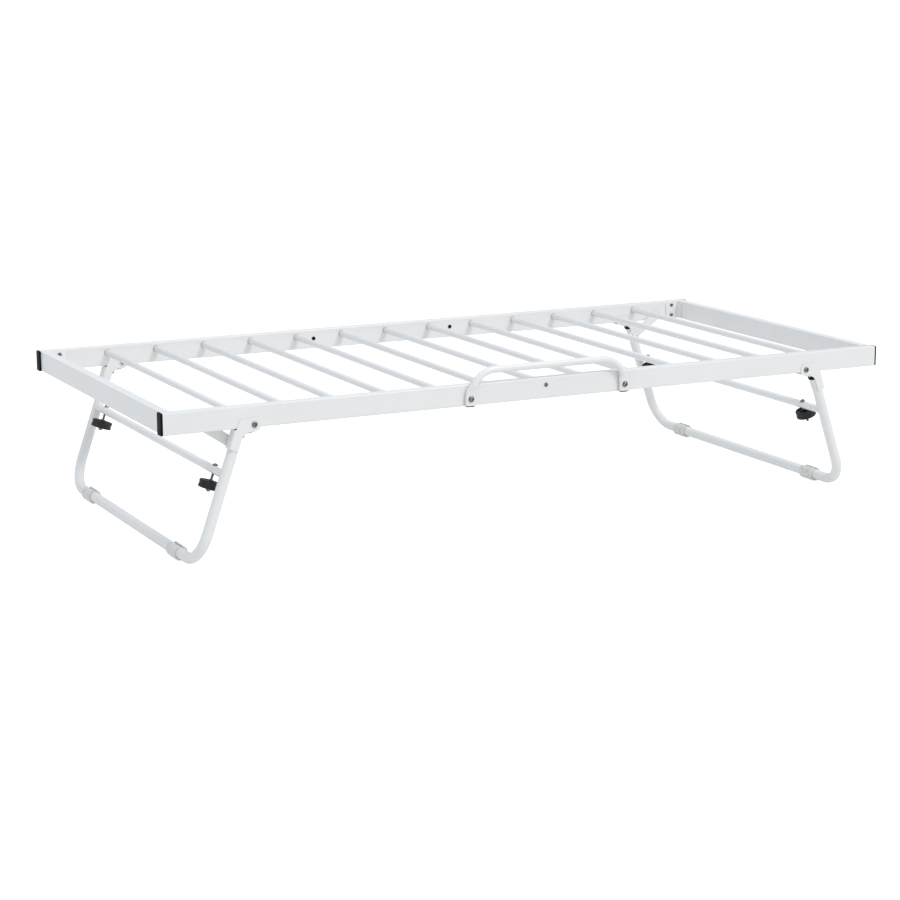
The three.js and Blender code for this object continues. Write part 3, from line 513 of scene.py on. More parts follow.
def orange_peel_group():
    """Sprayed coat: shallow orange-peel waves, faint thick and thin clouds, and a few rougher patches."""
    group, given, out = effect_group(
        "sprayed_coat", {"Coat": (0.8, 0.8, 0.8, 1), "Thin Coat": (0.7, 0.7, 0.7, 1)},
        {"Peel Scale": 520.0, "Peel Strength": 0.1, "Roughness": 0.35})
    place = given["Place"]
    clouds = spread(group, noise(group, place, 5.0, 3.0), 0.35, 0.7, 0.0, 1.0)
    patches = spread(group, noise(group, place, 38.0, 2.0), 0.3, 0.7, -0.04, 0.05)
    peel = noise(group, place, given["Peel Scale"], 1.5, 0.45)
    return put_out(group, given, out, mixed(group, clouds, given["Coat"], given["Thin Coat"]), patches,
                   raised(group, peel, given["Peel Strength"], 0.0006))


def moulded_group():
    """Moulded plastic: a fine spark-eroded grain and soft marks of handling that lighten and polish it."""
    group, given, out = effect_group(
        "moulded_grain", {"Body": (0.02, 0.02, 0.02, 1), "Rubbed": (0.05, 0.05, 0.05, 1)},
        {"Grain Scale": 1400.0, "Grain Strength": 0.25, "Roughness": 0.5})
    place = given["Place"]
    marks = spread(group, noise(group, place, 60.0, 4.0, 0.6), 0.45, 0.75, 0.0, 1.0)
    grain = noise(group, place, given["Grain Scale"], 2.0, 0.6)
    return put_out(group, given, out, mixed(group, marks, given["Body"], given["Rubbed"]),
                   spread(group, marks, 0.0, 1.0, 0.04, -0.06),
                   raised(group, grain, given["Grain Strength"], 0.0003))


def plated_group():
    """Bright zinc plating: crystal blotches of lighter and darker metal and fine random scratches."""
    group, given, out = effect_group(
        "plated_metal", {"Bright": (0.8, 0.8, 0.8, 1), "Dull": (0.5, 0.5, 0.5, 1)},
        {"Blotch Scale": 420.0, "Roughness": 0.25})
    place = given["Place"]
    blotch = spread(group, noise(group, place, given["Blotch Scale"], 3.0), 0.38, 0.66, 0.0, 1.0)
    scratches = noise(group, place, 2600.0, 2.0, 0.7)
    return put_out(group, given, out, mixed(group, blotch, given["Bright"], given["Dull"]),
                   spread(group, blotch, 0.0, 1.0, -0.04, 0.1), raised(group, scratches, 0.12, 0.0002))


GROUPS = {"coat": orange_peel_group(), "moulded": moulded_group(), "plated": plated_group()}


def finish(name, effect, values, metallic=0.0, **sockets):
    """A material: one effect group read at the piece's own coordinates, into a Principled surface."""
    material = bpy.data.materials.new(name)
    material.use_nodes = True
    tree = material.node_tree
    surface = tree.nodes["Principled BSDF"]
    surface.inputs["Metallic"].default_value = metallic
    for socket, value in sockets.items():
        surface.inputs[socket.replace("_", " ")].default_value = value
    place = tree.nodes.new("ShaderNodeTexCoord")
    node = tree.nodes.new("ShaderNodeGroup")
    node.node_tree = GROUPS[effect]
    tree.links.new(place.outputs["Object"], node.inputs["Place"])
    for socket, value in values.items():
        node.inputs[socket].default_value = value
    for source, target in (("Color", "Base Color"), ("Roughness", "Roughness"), ("Normal", "Normal")):
        tree.links.new(node.outputs[source], surface.inputs[target])
    return material


MATERIALS = {
    "white_powder_coat": finish("white_powder_coat", "coat", {
        "Coat": (0.80, 0.80, 0.785, 1), "Thin Coat": (0.775, 0.778, 0.772, 1),
        "Peel Scale": 480.0, "Peel Strength": 0.16, "Roughness": 0.34}, IOR=1.5),
    "black_cap_plastic": finish("black_cap_plastic", "moulded", {
        "Body": (0.004, 0.004, 0.0045, 1), "Rubbed": (0.009, 0.009, 0.01, 1),
        "Grain Scale": 1500.0, "Grain Strength": 0.3, "Roughness": 0.5}, IOR=1.46, Specular_IOR_Level=0.1),
    "black_wheel_plastic": finish("black_wheel_plastic", "moulded", {
        "Body": (0.012, 0.012, 0.013, 1), "Rubbed": (0.03, 0.03, 0.032, 1),
        "Grain Scale": 900.0, "Grain Strength": 0.4, "Roughness": 0.45}, IOR=1.48, Specular_IOR_Level=0.35),
    "zinc_plated_steel": finish("zinc_plated_steel", "plated", {
        "Bright": (0.33, 0.33, 0.32, 1), "Dull": (0.12, 0.12, 0.115, 1),
        "Blotch Scale": 420.0, "Roughness": 0.26}, metallic=1.0),
    "cream_clip_plastic": finish("cream_clip_plastic", "moulded", {
        "Body": (0.70, 0.71, 0.70, 1), "Rubbed": (0.60, 0.59, 0.48, 1),
        "Grain Scale": 1100.0, "Grain Strength": 0.15, "Roughness": 0.38}, IOR=1.5),
}


# ---- Bed frame ----------------------------------------------------------------------------------
OUTER_SECTION = rounded_section(RAIL_THICKNESS, RAIL_HEIGHT, RAIL_CORNER)
INNER_SECTION = rounded_section(RAIL_THICKNESS - 2 * RAIL_WALL, RAIL_HEIGHT - 2 * RAIL_WALL,
                                RAIL_CORNER - RAIL_WALL)


def side_rail(side):
    """Side rail: the rail section along X, bored for slats, pivots, screws and the handle."""
    sign = SIDE_SIGN[side]
    y = CENTRE_Y + sign * RAIL_MID_Y
    inner_face = CENTRE_Y + sign * RAIL_INNER_Y
    outer_face = CENTRE_Y + sign * RAIL_OUTER_Y
    body = straight_tube((-RAIL_END_X, y, RAIL_MID_Z), (RAIL_END_X, y, RAIL_MID_Z),
                         OUTER_SECTION, INNER_SECTION, Z)
    bores = [((centre(slat)[0], inner_face, SLAT_Z), Y, SLAT_HOLE, 4 * MM) for slat in SLATS]
    pivots = [JOINTS[f"{end}_leg_fold"]["pos_m"] for end in END_SIGN]
    bores += [((p[0], y, p[2]), Y, BOLT_HOLE, 20 * MM) for p in pivots]
    if side == "front":
        bores += [((end * HANDLE_X, outer_face, HANDLE_BOLT_Z), Y, BOLT_HOLE, 4 * MM) for end in (-1, 1)]
    add(f"{side}_rail_tube", body, "bed_frame", "white_powder_coat", [f"{side}_rail"], bores)


def end_rail(end):
    """End rail: the same section along Y, butted between the side rails."""
    low, high = low_high(f"{end}_end_rail")
    x = centre(f"{end}_end_rail")[0]
    body = straight_tube((x, low[1], RAIL_MID_Z), (x, high[1], RAIL_MID_Z),
                         OUTER_SECTION, INNER_SECTION, Z, 0.2 * MM)
    add(f"{end}_end_rail_tube", body, "bed_frame", "white_powder_coat", [f"{end}_end_rail"])


def rail_cap(side, end):
    """Black end cap: a flange with rolled edges and a faintly crowned face, and a ribbed plug in the tube.

    Each ring is the rail section pulled in by roll * (1 - cos t) at a depth of roll * (1 - sin t) under
    the outer face, with a small extra depth for the crown.
    """
    sign = END_SIGN[end]
    y = CENTRE_Y + SIDE_SIGN[side] * RAIL_MID_Y
    low, high = low_high(f"{side}_{end}_rail_cap")
    outer_x = high[0] if sign > 0 else low[0]
    thick, roll = 4.7 * MM, 1.3 * MM
    t = np.linspace(0, math.pi / 2, 7)
    # how far the section is pulled in and how deep it lies, from the back of the flange to its middle
    shrink = np.concatenate([[0.0, 0.0], roll * (1 - np.cos(t)), [3 * MM, 6 * MM, 9 * MM]])
    depth = np.concatenate([[thick, roll + 0.3 * MM], roll * (1 - np.sin(t)) + 0.25 * MM,
                            [0.14 * MM, 0.05 * MM, 0.0]])
    flange = [cap_ring(s, (outer_x - sign * d, y, RAIL_MID_Z)) for s, d in zip(shrink, depth)]
    grooves = [(0, 0), (3, 0), (3.4, 0.5), (6, 0.5), (6.4, 0), (9, 0), (9.4, 0.5), (12, 0.5), (12.4, 0),
               (14, 0), (15.6, 1.2)]  # millimetres behind the flange and into the plug
    plug = [cap_ring(RAIL_WALL + GAP + groove * MM, (outer_x - sign * (thick + d * MM), y, RAIL_MID_Z))
            for d, groove in grooves]
    add(f"{side}_{end}_end_cap", [loft(flange), loft(plug)], "bed_frame", "black_cap_plastic",
        [f"{side}_{end}_rail_cap"])


def cap_ring(shrink, place):
    """The rail section pulled in by an amount on every side, standing across X at a place."""
    section = rounded_section(RAIL_THICKNESS - 2 * shrink, RAIL_HEIGHT - 2 * shrink,
                              max(RAIL_CORNER - shrink, 0.8 * MM))
    return np.asarray(place) + section[:, :1] * Y + section[:, 1:] * Z


def corner_angle(side, end):
    """Corner angle: an L of sheet whose path has a small bend, the sheet's section carried up and down.

    The path runs along the side rail's inner face, round the bend and along the end rail's face; each
    point is set to both sides of the sheet and to heights that fall away near the rounded free corners.
    """
    sign_y, sign_x = SIDE_SIGN[side], END_SIGN[end]
    face_y = CENTRE_Y + sign_y * (RAIL_INNER_Y - GAP)
    face_x = sign_x * (RAIL_END_X - RAIL_THICKNESS - GAP)
    half, sheet, bend, corner = 21 * MM, 2 * MM, 3.2 * MM, 4 * MM
    long_arm, short_arm = 39 * MM, 22 * MM
    screw_in, screw_apart = 22 * MM, 28 * MM
    corners = np.array([(face_x - sign_x * long_arm, face_y - sign_y * sheet / 2, RAIL_MID_Z),
                        (face_x - sign_x * sheet / 2, face_y - sign_y * sheet / 2, RAIL_MID_Z),
                        (face_x - sign_x * sheet / 2, face_y - sign_y * short_arm, RAIL_MID_Z)])
    points, headings = bent_line(corners, bend, 8)
    ease = np.linspace(0, 1, 8)[:, None] ** 2  # closer rings near the free ends
    first = corners[0] + (points[1] - corners[0]) * ease * 0.2
    last = corners[2] + (points[-2] - corners[2]) * ease[::-1] * 0.4
    points = np.vstack([first, points[1:-1], last])
    headings = np.vstack([np.repeat(headings[:1], 8, 0), headings[1:-1], np.repeat(headings[-1:], 8, 0)])
    # rounded free corners: the half height follows a quarter circle over the last few millimetres
    length = length_along(points)
    near_end = np.clip(np.minimum(length, length[-1] - length), 0, corner)
    height = half - corner + np.sqrt(np.maximum(corner ** 2 - (corner - near_end) ** 2, 0))
    section = np.array([(sheet / 2, 1), (sheet / 2, -1), (-sheet / 2, -1), (-sheet / 2, 1)])
    sections = section[None] * np.stack([np.ones_like(height), height], -1)[:, None]
    body = loft(carried(sections, points, headings, Z))
    add(f"{side}_{end}_corner_bracket", body, "bed_frame", "white_powder_coat",
        [f"{side}_{end}_corner_angle"], edge=0.35 * MM)
    for label, up in (("upper", 0.5), ("lower", -0.5)):
        place = np.array([sign_x * (RAIL_END_X - RAIL_THICKNESS - screw_in), face_y - sign_y * (sheet + AIR),
                          RAIL_MID_Z + up * screw_apart])
        add(f"{side}_{end}_corner_screw_{label}", small_screw(place, -sign_y * Y, 2.6 * MM, 9 * MM),
            "bed_frame", "zinc_plated_steel")


def slat(node):
    """Slat: a round tube along Y whose ends sit in the side rails' holes."""
    low, high = low_high(node)
    middle = (low + high) / 2
    body = straight_tube((middle[0], low[1], SLAT_Z), (middle[0], high[1], SLAT_Z),
                         circle_section(SLAT_RADIUS, 40), circle_section(SLAT_RADIUS - SLAT_WALL, 40), Z)
    add(f"{node}_tube", body, "bed_frame", "white_powder_coat", [node])


def small_frame_hardware():
    """The middle screw of the front rail and the two plugs in the back rail's inner face."""
    front = np.array([-3 * MM, CENTRE_Y - RAIL_OUTER_Y - AIR, RAIL_TOP - 17.6 * MM])
    add("front_rail_middle_screw", small_screw(front, -Y, 2.2 * MM, 10 * MM),
        "bed_frame", "zinc_plated_steel")
    for end, x, drop in (("left", -209 * MM, 23.5 * MM), ("right", 192 * MM, 21.5 * MM)):
        place = np.array([x, CENTRE_Y + RAIL_INNER_Y - AIR, RAIL_TOP - drop])
        profile = rounded(MM * np.array([(0, 1.5), (3.4, 1.5), (5.2, 0.9), (5.2, 0), (3.3, 0), (3.3, -5),
                                         (2.4, -7), (0, -7)]), 0.5 * MM)
        add(f"back_rail_hole_plug_{end}", turned(profile, place, -Y), "bed_frame", "black_cap_plastic")


# ---- Pull handle --------------------------------------------------------------------------------
def handle():
    """Pull handle: a tube along a bent line, its section going from round to a flat oval near both ends.

    Section at height z = (1 - f) * circle + f * oval, with f an S-curve that rises below the rail's top;
    the path shifts back by the change in depth, so that the flat ends lie on the rail.
    """
    low, high = low_high("pull_handle")
    radius, wall, bend = 8.5 * MM, 1.5 * MM, 62 * MM
    flat_half, flat_wide = 5.5 * MM, HANDLE_FLAT_WIDE
    face = CENTRE_Y - RAIL_OUTER_Y - GAP
    top = high[2] - radius
    corners = [(-HANDLE_X, 0, low[2]), (-HANDLE_X, 0, top), (HANDLE_X, 0, top), (HANDLE_X, 0, low[2])]
    points, headings = bent_line(corners, bend, 24)
    steps = np.linspace(0, 1, 22)[:-1, None]  # rings along each straight end, where the section changes
    points = np.vstack([points[0] + (points[1] - points[0]) * steps, points[1:-1],
                        points[-1] + (points[-2] - points[-1]) * steps[::-1]])
    headings = np.vstack([np.repeat(headings[:1], 21, 0), headings[1:-1], np.repeat(headings[-1:], 21, 0)])
    flat = smooth(points[:, 2], RAIL_TOP + 1 * MM, RAIL_TOP - 19 * MM)
    points[:, 1] = face - radius + flat * (radius - flat_half)
    share = flat[:, None, None]

    def sections(inset):
        """The tube's section at each ring, pulled in by an inset."""
        return ((1 - share) * circle_section(radius - inset, 40)
                + share * (squared_circle() * (flat_wide - inset, flat_half - inset)))

    outer, inner = (carried(sections(inset), points, headings, -Y) for inset in (0, wall))
    bores = [((sign * HANDLE_X, face, HANDLE_BOLT_Z), Y, BOLT_HOLE, 30 * MM) for sign in (-1, 1)]
    add("pull_handle_tube", tube_wall(outer, inner), "bed_frame", "white_powder_coat", ["pull_handle"], bores,
        crease=40)
    for end, sign in END_SIGN.items():
        head = np.array([sign * HANDLE_X, face - 2 * flat_half - 0.25 * MM, HANDLE_BOLT_Z])
        washer = rounded(MM * np.array([(3.2, 0), (7.2, 0), (7.2, 1), (3.2, 1)]), 0.3 * MM)
        add(f"handle_bolt_{end}_socket_head",
            [driven_head(5.8 * MM, 3.6 * MM, head - 1.05 * MM * Y, -Y, "hex"), turned(washer, head, -Y),
             threaded_rod(BOLT, -18 * MM, -0.1 * MM, head, -Y)],
            "bed_frame", "zinc_plated_steel", [f"handle_bolt_{end}"])
        nut = np.array([sign * HANDLE_X, CENTRE_Y - RAIL_OUTER_Y + RAIL_WALL, HANDLE_BOLT_Z])
        add(f"handle_rivet_nut_{end}", hex_prism(9 * MM, 0.3 * MM, 8 * MM, nut, Y, BOLT + 0.3 * MM),
            "bed_frame", "zinc_plated_steel")
        base = np.array([sign * HANDLE_X, face - flat_half, low[2]])
        add(f"handle_end_plug_{end}", oval_plug(base, flat_wide, flat_half), "bed_frame", "black_cap_plastic",
            [f"handle_plug_{end}"])


def oval_plug(base, half_width, half_depth):
    """Oval plug under a tube's end: rings of the pressed section, domed below and stepped in above."""
    # (share of the section, millimetres up)
    levels = np.array([(0.05, -3), (0.5, -2.95), (0.8, -2.7), (0.95, -2), (1, -1.2), (1, -0.3), (0.7, -0.3),
                       (0.7, 5), (0.6, 5.6)])
    scale, height = levels[:, :1, None], levels[:, 1:, None] * MM
    rings = base + squared_circle() * (half_width, half_depth) @ np.array([X, Y]) * scale + height * Z
    return loft(rings)


# ---- Folding legs -------------------------------------------------------------------------------
class Leg:
    """One folding leg's own directions: along the leg, outward from the pivot, and across the bed."""

    def __init__(self, end):
        self.end = end
        self.body = f"{end}_leg"
        spin = next(j for name, j in JOINTS.items() if name.endswith(f"{end}_wheel_spin"))
        self.down = np.array(spin["axis"]) / np.linalg.norm(spin["axis"])
        self.out = np.array([self.down[2], 0, -self.down[0]]) * (1 if end == "left" else -1)
        self.pivot = np.array(JOINTS[f"{end}_leg_fold"]["pos_m"])
        self.pivot[1] = CENTRE_Y
        self.bar_reach = (self.pivot[2] + LEG_OFFSET * self.out[2] - FOOT_HEIGHT) / -self.down[2]
        self.latch_side = "front" if end == "left" else "back"

    def at(self, along, out, y=0.0):
        """Point at a way down the leg, out from the pivot and across the bed; arrays are taken too."""
        along, out, y = np.broadcast_arrays(*[np.asarray(v, float)[..., None] for v in (along, out, y)])
        return self.pivot + along * self.down + out * self.out + y * Y


def leg_tube(leg):
    """Leg frame: a round tube along a U, with two wide bends at the floor."""
    corners = [leg.at(LEG_TOP_CUT, LEG_OFFSET, -RAIL_MID_Y), leg.at(leg.bar_reach, LEG_OFFSET, -RAIL_MID_Y),
               leg.at(leg.bar_reach, LEG_OFFSET, RAIL_MID_Y), leg.at(LEG_TOP_CUT, LEG_OFFSET, RAIL_MID_Y)]
    points, headings = bent_line(corners, LEG_BEND, 28)
    outer = carried(circle_section(LEG_RADIUS, 48), points, headings, leg.out)
    inner = carried(circle_section(LEG_RADIUS - LEG_WALL, 48), points, headings, leg.out)
    add(f"{leg.end}_leg_tube", tube_wall(outer, inner), leg.body, "white_powder_coat",
        [f"{leg.end}_leg_frame"])


def crossbar(leg):
    """Crossbar: a round tube whose end is cut to the leg tube, end y = leg y - sqrt(R^2 - s^2).

    s is a point's distance from the leg tube's axis plane, R the leg's radius with a little air.
    """
    stations = np.array([-1, -0.95, -0.5, 0, 0.5, 0.95, 1])[:, None]

    def rings(radius, steps=48, share=stations):
        """Circles round the bar, each point at its share of the way to the cut end."""
        a = full_turn(steps)
        s = radius * np.sin(a)
        cut = RAIL_MID_Y - np.sqrt((LEG_RADIUS + 0.4 * MM) ** 2 - s ** 2)
        return leg.at(CROSSBAR_REACH + radius * np.cos(a), LEG_OFFSET + s, share * cut)

    add(f"{leg.end}_crossbar_tube", tube_wall(rings(CROSSBAR_RADIUS), rings(CROSSBAR_RADIUS - CROSSBAR_WALL)),
        leg.body, "white_powder_coat", [f"{leg.end}_crossbar"])
    for side, sign in SIDE_SIGN.items():
        curve = rings(CROSSBAR_RADIUS, 96, sign)
        add(f"{side}_{leg.end}_crossbar_weld", ripple_bead(curve, 1.5 * MM, 22, Y),
            leg.body, "white_powder_coat")


def cheek_outline(leg, web):
    """Outline of a channel's cheek as (along, out) points, from the bend's top to the lip's lower end.

    It runs straight to the ear, round the ear's arc about the pivot, over the quadratic
    (1 - t)^2 * ear + 2 t (1 - t) * pull + t^2 * stop, and straight down the lip.
    """
    inner_x = 1 if leg.end == "left" else -1
    turn = np.linspace(math.pi / 2 + 0.35, -math.pi / 2, 30)
    world = CHANNEL_EAR * np.stack([inner_x * np.cos(turn), np.sin(turn)])
    ear = (np.stack([leg.down[[0, 2]], leg.out[[0, 2]]]) @ world).T
    t = np.linspace(0, 1, 10)[1:, None]
    pull, stop = np.array([(21 * MM, CHANNEL_LIP - 3 * MM), (36 * MM, CHANNEL_LIP - 0.5 * MM)])
    curve = (1 - t) ** 2 * ear[-1] + 2 * t * (1 - t) * pull + t ** 2 * stop
    lip_end = np.array([CHANNEL_END, CHANNEL_LIP])
    lip = lip_end + (1 - np.linspace(0, 1, 8)[1:, None]) * (stop - lip_end)
    shoulder = np.array([-BEND_RISE, web - CHANNEL_CORNER])
    lead = shoulder + np.linspace(0, 1, 6)[:-1, None] * (ear[0] - shoulder)
    return np.vstack([lead, ear, curve, lip])


def hinge_channel(leg, side):
    """Hinge channel: one bent sheet, a surface over (round the U section, down the leg).

    Round the section it runs from one cheek's outline, over the bend and web, to the other cheek's.
    On a cheek each point lies on the line from the bend to the outline, bend + share * (outline - bend);
    on the web the top edge is a level cut under the rail, along = plane + slope * out.
    """
    mid_y = SIDE_SIGN[side] * RAIL_MID_Y
    web = LEG_OFFSET + LEG_RADIUS + GAP + CHANNEL_SHEET  # outer face of the web, out from the pivot
    outline = cheek_outline(leg, web)
    rows = len(outline)
    down_share = length_along(outline) / length_along(outline)[-1]
    bend = np.column_stack([(CHANNEL_END + BEND_RISE) * down_share - BEND_RISE,
                            np.full(rows, web - CHANNEL_CORNER)])

    columns = []  # (along, out, y) of every row, column by column round the section
    for cheek_y, shares in ((-CHEEK_OUTER, np.linspace(1, 0, 9)), (CHEEK_OUTER, np.linspace(0, 1, 9))):
        columns.append([np.column_stack([bend + share * (outline - bend), np.full(rows, cheek_y)])
                        for share in shares])
    plane = (leg.pivot[2] - RAIL_BOTTOM + WEB_GAP) / -leg.down[2]
    slope = leg.out[2] / -leg.down[2]
    a = np.linspace(0, math.pi / 2, 7)
    y_bend = -CHEEK_OUTER + CHANNEL_CORNER * (1 - np.cos(a))
    out_bend = web - CHANNEL_CORNER * (1 - np.sin(a))
    across_y = np.concatenate([y_bend, np.linspace(y_bend[-1], -y_bend[-1], 7)[1:-1], -y_bend[::-1]])[1:-1]
    across_out = np.concatenate([out_bend, np.full(5, web), out_bend[::-1]])[1:-1]
    columns.insert(1, [np.column_stack([np.maximum(bend[:, 0], plane + slope * out), np.full(rows, out),
                                        np.full(rows, y)]) for y, out in zip(across_y, across_out)])
    along, out, y = np.stack(sum(columns, []), 1).transpose(2, 0, 1)
    points = leg.at(along, out, mid_y + y).reshape(-1, 3)
    faces = quads(*along.shape, wrap_columns=False).tolist()
    name = f"{side}_{leg.end}_hinge_bracket"
    piece = placed(name, clean_mesh(name, points, faces, leg.at(30 * MM, LEG_OFFSET, mid_y)))
    wall = piece.modifiers.new("sheet", "SOLIDIFY")
    wall.thickness, wall.offset, wall.use_even_offset = CHANNEL_SHEET, -1, False
    settle(piece)
    spots = np.empty(3 * len(piece.data.vertices), np.float32)
    piece.data.vertices.foreach_get("co", spots)
    middle = CENTRE_Y + mid_y
    spots[1::3] = np.clip(spots[1::3], middle - CHEEK_OUTER, middle + CHEEK_OUTER)  # presses small folds flat
    piece.data.vertices.foreach_set("co", spots)
    bored(piece, [(leg.at(0, 0, mid_y), Y, BOLT_HOLE, 30 * MM)])
    bevelled(piece, 0.3 * MM)
    dressed(piece, leg.body, "white_powder_coat", [f"{side}_{leg.end}_hinge_channel"])

    # weld beads along the channel's lower end, where it meets the leg tube
    for cheek in (-1, 1):
        bead = leg.at(CHANNEL_END + 0.4 * MM, LEG_OFFSET + np.linspace(-6, 7, 40) * MM,
                      mid_y + cheek * (LEG_RADIUS - 0.2 * MM))
        label = "inner" if cheek == -SIDE_SIGN[side] else "outer"
        add(f"{side}_{leg.end}_channel_weld_{label}", ripple_bead(bead, 1.3 * MM, 8, leg.down, closed=False),
            leg.body, "white_powder_coat")
    if side == leg.latch_side:
        latch_stud(leg, side)


def latch_stud(leg, side):
    """Stud with a flat head on the channel's inner cheek, which the latch arm hooks over."""
    sign = SIDE_SIGN[side]
    place = leg.at(*LATCH_STUD, sign * (RAIL_MID_Y - CHEEK_OUTER))
    profile = rounded(MM * np.array([(0, -0.6), (4, -0.6), (4, 2.6), (6.5, 2.6), (6.5, 4.2), (0, 4.2)]),
                      0.5 * MM)
    add(f"{side}_{leg.end}_latch_stud", turned(profile, place, -sign * Y), leg.body, "white_powder_coat")


def leg_plug(leg, side):
    """Black plug in the leg tube's cut top, slanted along the rail's underside as the fold stop.

    Head: rings of an oval that reaches further on the open side, from the tube's end up to the level
    plane under the rail, along = plane's distance + slope * out. Lip: a crescent over the tube's open
    side, between the tube's radius and a circle of the head's radius whose centre leans inward.
    """
    y = SIDE_SIGN[side] * RAIL_MID_Y
    head, lean, skirt, rail_gap = 12 * MM, 4 * MM, 10 * MM, 1.5 * MM
    base = LEG_TOP_CUT - GAP
    a = full_turn(48)
    shrink = np.array([0.0, 0.3, 0.3 + 1.2 * math.sin(0.5), 1.2, 1.5])[:, None] * MM
    plane = (leg.pivot[2] - RAIL_BOTTOM + rail_gap) / -leg.down[2]
    slope = leg.out[2] / -leg.down[2]
    share = np.array([1, 0.2, 0.08, 0.03, 0.0])[:, None]  # of the height, from the tube's end to the slant
    out = LEG_OFFSET - lean / 2 + (head + lean / 2 - shrink) * np.cos(a)
    top = plane + slope * out
    rings = leg.at(top + share * (base - top), out, y + (head - shrink) * np.sin(a))
    core = turned(MM * np.array([(0, -1), (10.6, -1), (10.6, 12), (0, 12)]),
                  leg.at(LEG_TOP_CUT, LEG_OFFSET, y), leg.down, 40)
    lip_turn = 1.18  # radians that the lip reaches to each side
    b = np.linspace(-lip_turn, lip_turn, 33)
    outside = lean * np.cos(b) + np.sqrt(head ** 2 - (lean * np.sin(b)) ** 2)
    inside = np.full(len(b), LEG_RADIUS + GAP)
    along = base + np.array([-0.5, 0.3, 0.7, 0.92, 1.0])[:, None] * skirt
    thin = np.array([1, 1, 0.95, 0.75, 0.35])[:, None]
    radius = np.concatenate([inside + (outside - inside) * thin, np.repeat(inside[None], len(thin), 0)], 1)
    turn = np.concatenate([b, b[::-1]])
    lip = leg.at(along, LEG_OFFSET - radius * np.cos(turn), y + radius * np.sin(turn))
    points, faces = loft(lip, capped=False)
    ends = np.arange(len(points)).reshape(len(along), -1)[[0, -1]].tolist()
    faces += [ends[0][::-1], ends[1]]
    add(f"{side}_{leg.end}_leg_plug", [loft(rings), core, (points, faces)], leg.body, "black_cap_plastic",
        [f"{side}_{leg.end}_tube_plug"])


def pivot_bolt(leg, side):
    """Pivot bolt through both cheeks and the rail: domed head outside, washer and nut inside."""
    sign = SIDE_SIGN[side]
    inward = -sign * Y
    head = leg.at(0, 0, sign * (RAIL_MID_Y + CHEEK_OUTER + 0.25 * MM))
    inner = 2 * CHEEK_OUTER + 0.6 * MM
    parts = [driven_head(7 * MM, 3.9 * MM, head, -inward, "cross"),
             threaded_rod(BOLT, 0.1 * MM, inner + 7 * MM, head, inward),
             hex_prism(11.2 * MM, inner, 5 * MM, head, inward, BOLT - 0.2 * MM)]
    add(f"{side}_{leg.end}_pivot_screw", parts, "bed_frame", "zinc_plated_steel",
        [f"{side}_{leg.end}_pivot_bolt"])


def roller(leg, side):
    """Roller: a turned black wheel with softened tread edges, two tread grooves, and ribbed dished faces.

    The face's height over the dish is -depth * (1 - rib), where rib is high along evenly spaced spokes.
    """
    half = WHEEL_WIDTH / 2
    bore, hub, rim, dish, steps = 3.4 * MM, 8.5 * MM, 20 * MM, 2.6 * MM, 96
    upper = np.array([(rim, half), (WHEEL_RADIUS, half), (WHEEL_RADIUS, 3.4 * MM),
                      (WHEEL_RADIUS - 0.7 * MM, 2.8 * MM)])
    tread = rounded(np.vstack([upper, upper[::-1] * (1, -1)]), 1.8 * MM)
    dish_r = np.array([rim - 0.2 * MM, rim - 0.7 * MM, 16 * MM, 13 * MM, 10 * MM, hub + 0.6 * MM])
    r = np.concatenate([[bore, hub - 0.4 * MM, hub, hub], dish_r[::-1], [rim], tread[1:-1, 0], [rim], dish_r,
                        [hub, hub, hub - 0.4 * MM, bore]])
    face = np.concatenate([[half, half, half - 0.4 * MM], np.full(7, half - dish), [half]])
    h = np.concatenate([face, tread[1:-1, 1], -face[::-1]])
    in_dish = ((r > hub) & (r < rim)).astype(float)
    wave = np.abs(((full_turn(steps) * 5 / math.pi) % 2) - 1)
    spoke = smooth(wave, 0.26, 0.12)  # five spokes, high where the wave is low
    lift = in_dish[:, None] * spoke[None] * 2.0 * MM * np.sign(h)[:, None]
    rings = rings_about(JOINTS[f"{side}_{leg.end}_wheel_spin"]["pos_m"], leg.down, h[:, None] + lift,
                        r[:, None], steps)
    add(f"{side}_{leg.end}_roller_wheel", loft(rings, closed=True), f"{side}_{leg.end}_roller",
        "black_wheel_plastic", [f"{side}_{leg.end}_wheel"])


def axle_bolt(leg, side):
    """Axle bolt: hexagon head and washer on the crossbar, shank, collar over the wheel and nut under it."""
    wheel = np.array(JOINTS[f"{side}_{leg.end}_wheel_spin"]["pos_m"])
    origin = leg.at(CROSSBAR_REACH, LEG_OFFSET, wheel[1] - CENTRE_Y)
    drop = float((wheel - origin) @ leg.down)
    head = CROSSBAR_RADIUS + 0.3 * MM
    above = drop - WHEEL_WIDTH / 2 - 0.3 * MM
    below = drop + WHEEL_WIDTH / 2 + 0.3 * MM
    bore = BOLT - 0.2 * MM

    def collar(radius, start, end, edge):
        """Line of a collar's section round the bolt."""
        return rounded([(bore, start), (radius, start), (radius, end), (bore, end)], edge)

    height = min(3.2 * MM, above - head - 0.2 * MM)
    parts = [driven_head(6 * MM, 3.4 * MM, origin - (head + 1.1 * MM) * leg.down, -leg.down, "hex"),
             turned(collar(6.4 * MM, -head, -head - 1 * MM, 0.3 * MM), origin, leg.down),
             threaded_rod(BOLT, -head, AXLE_END[leg.end], origin, leg.down),
             turned(collar(5.6 * MM, above - height, above, 0.5 * MM), origin, leg.down),
             hex_prism(10 * MM, below, 5 * MM, origin, leg.down, bore)]
    add(f"{side}_{leg.end}_axle_screw", parts, leg.body, "zinc_plated_steel", [f"{side}_{leg.end}_axle_bolt"])


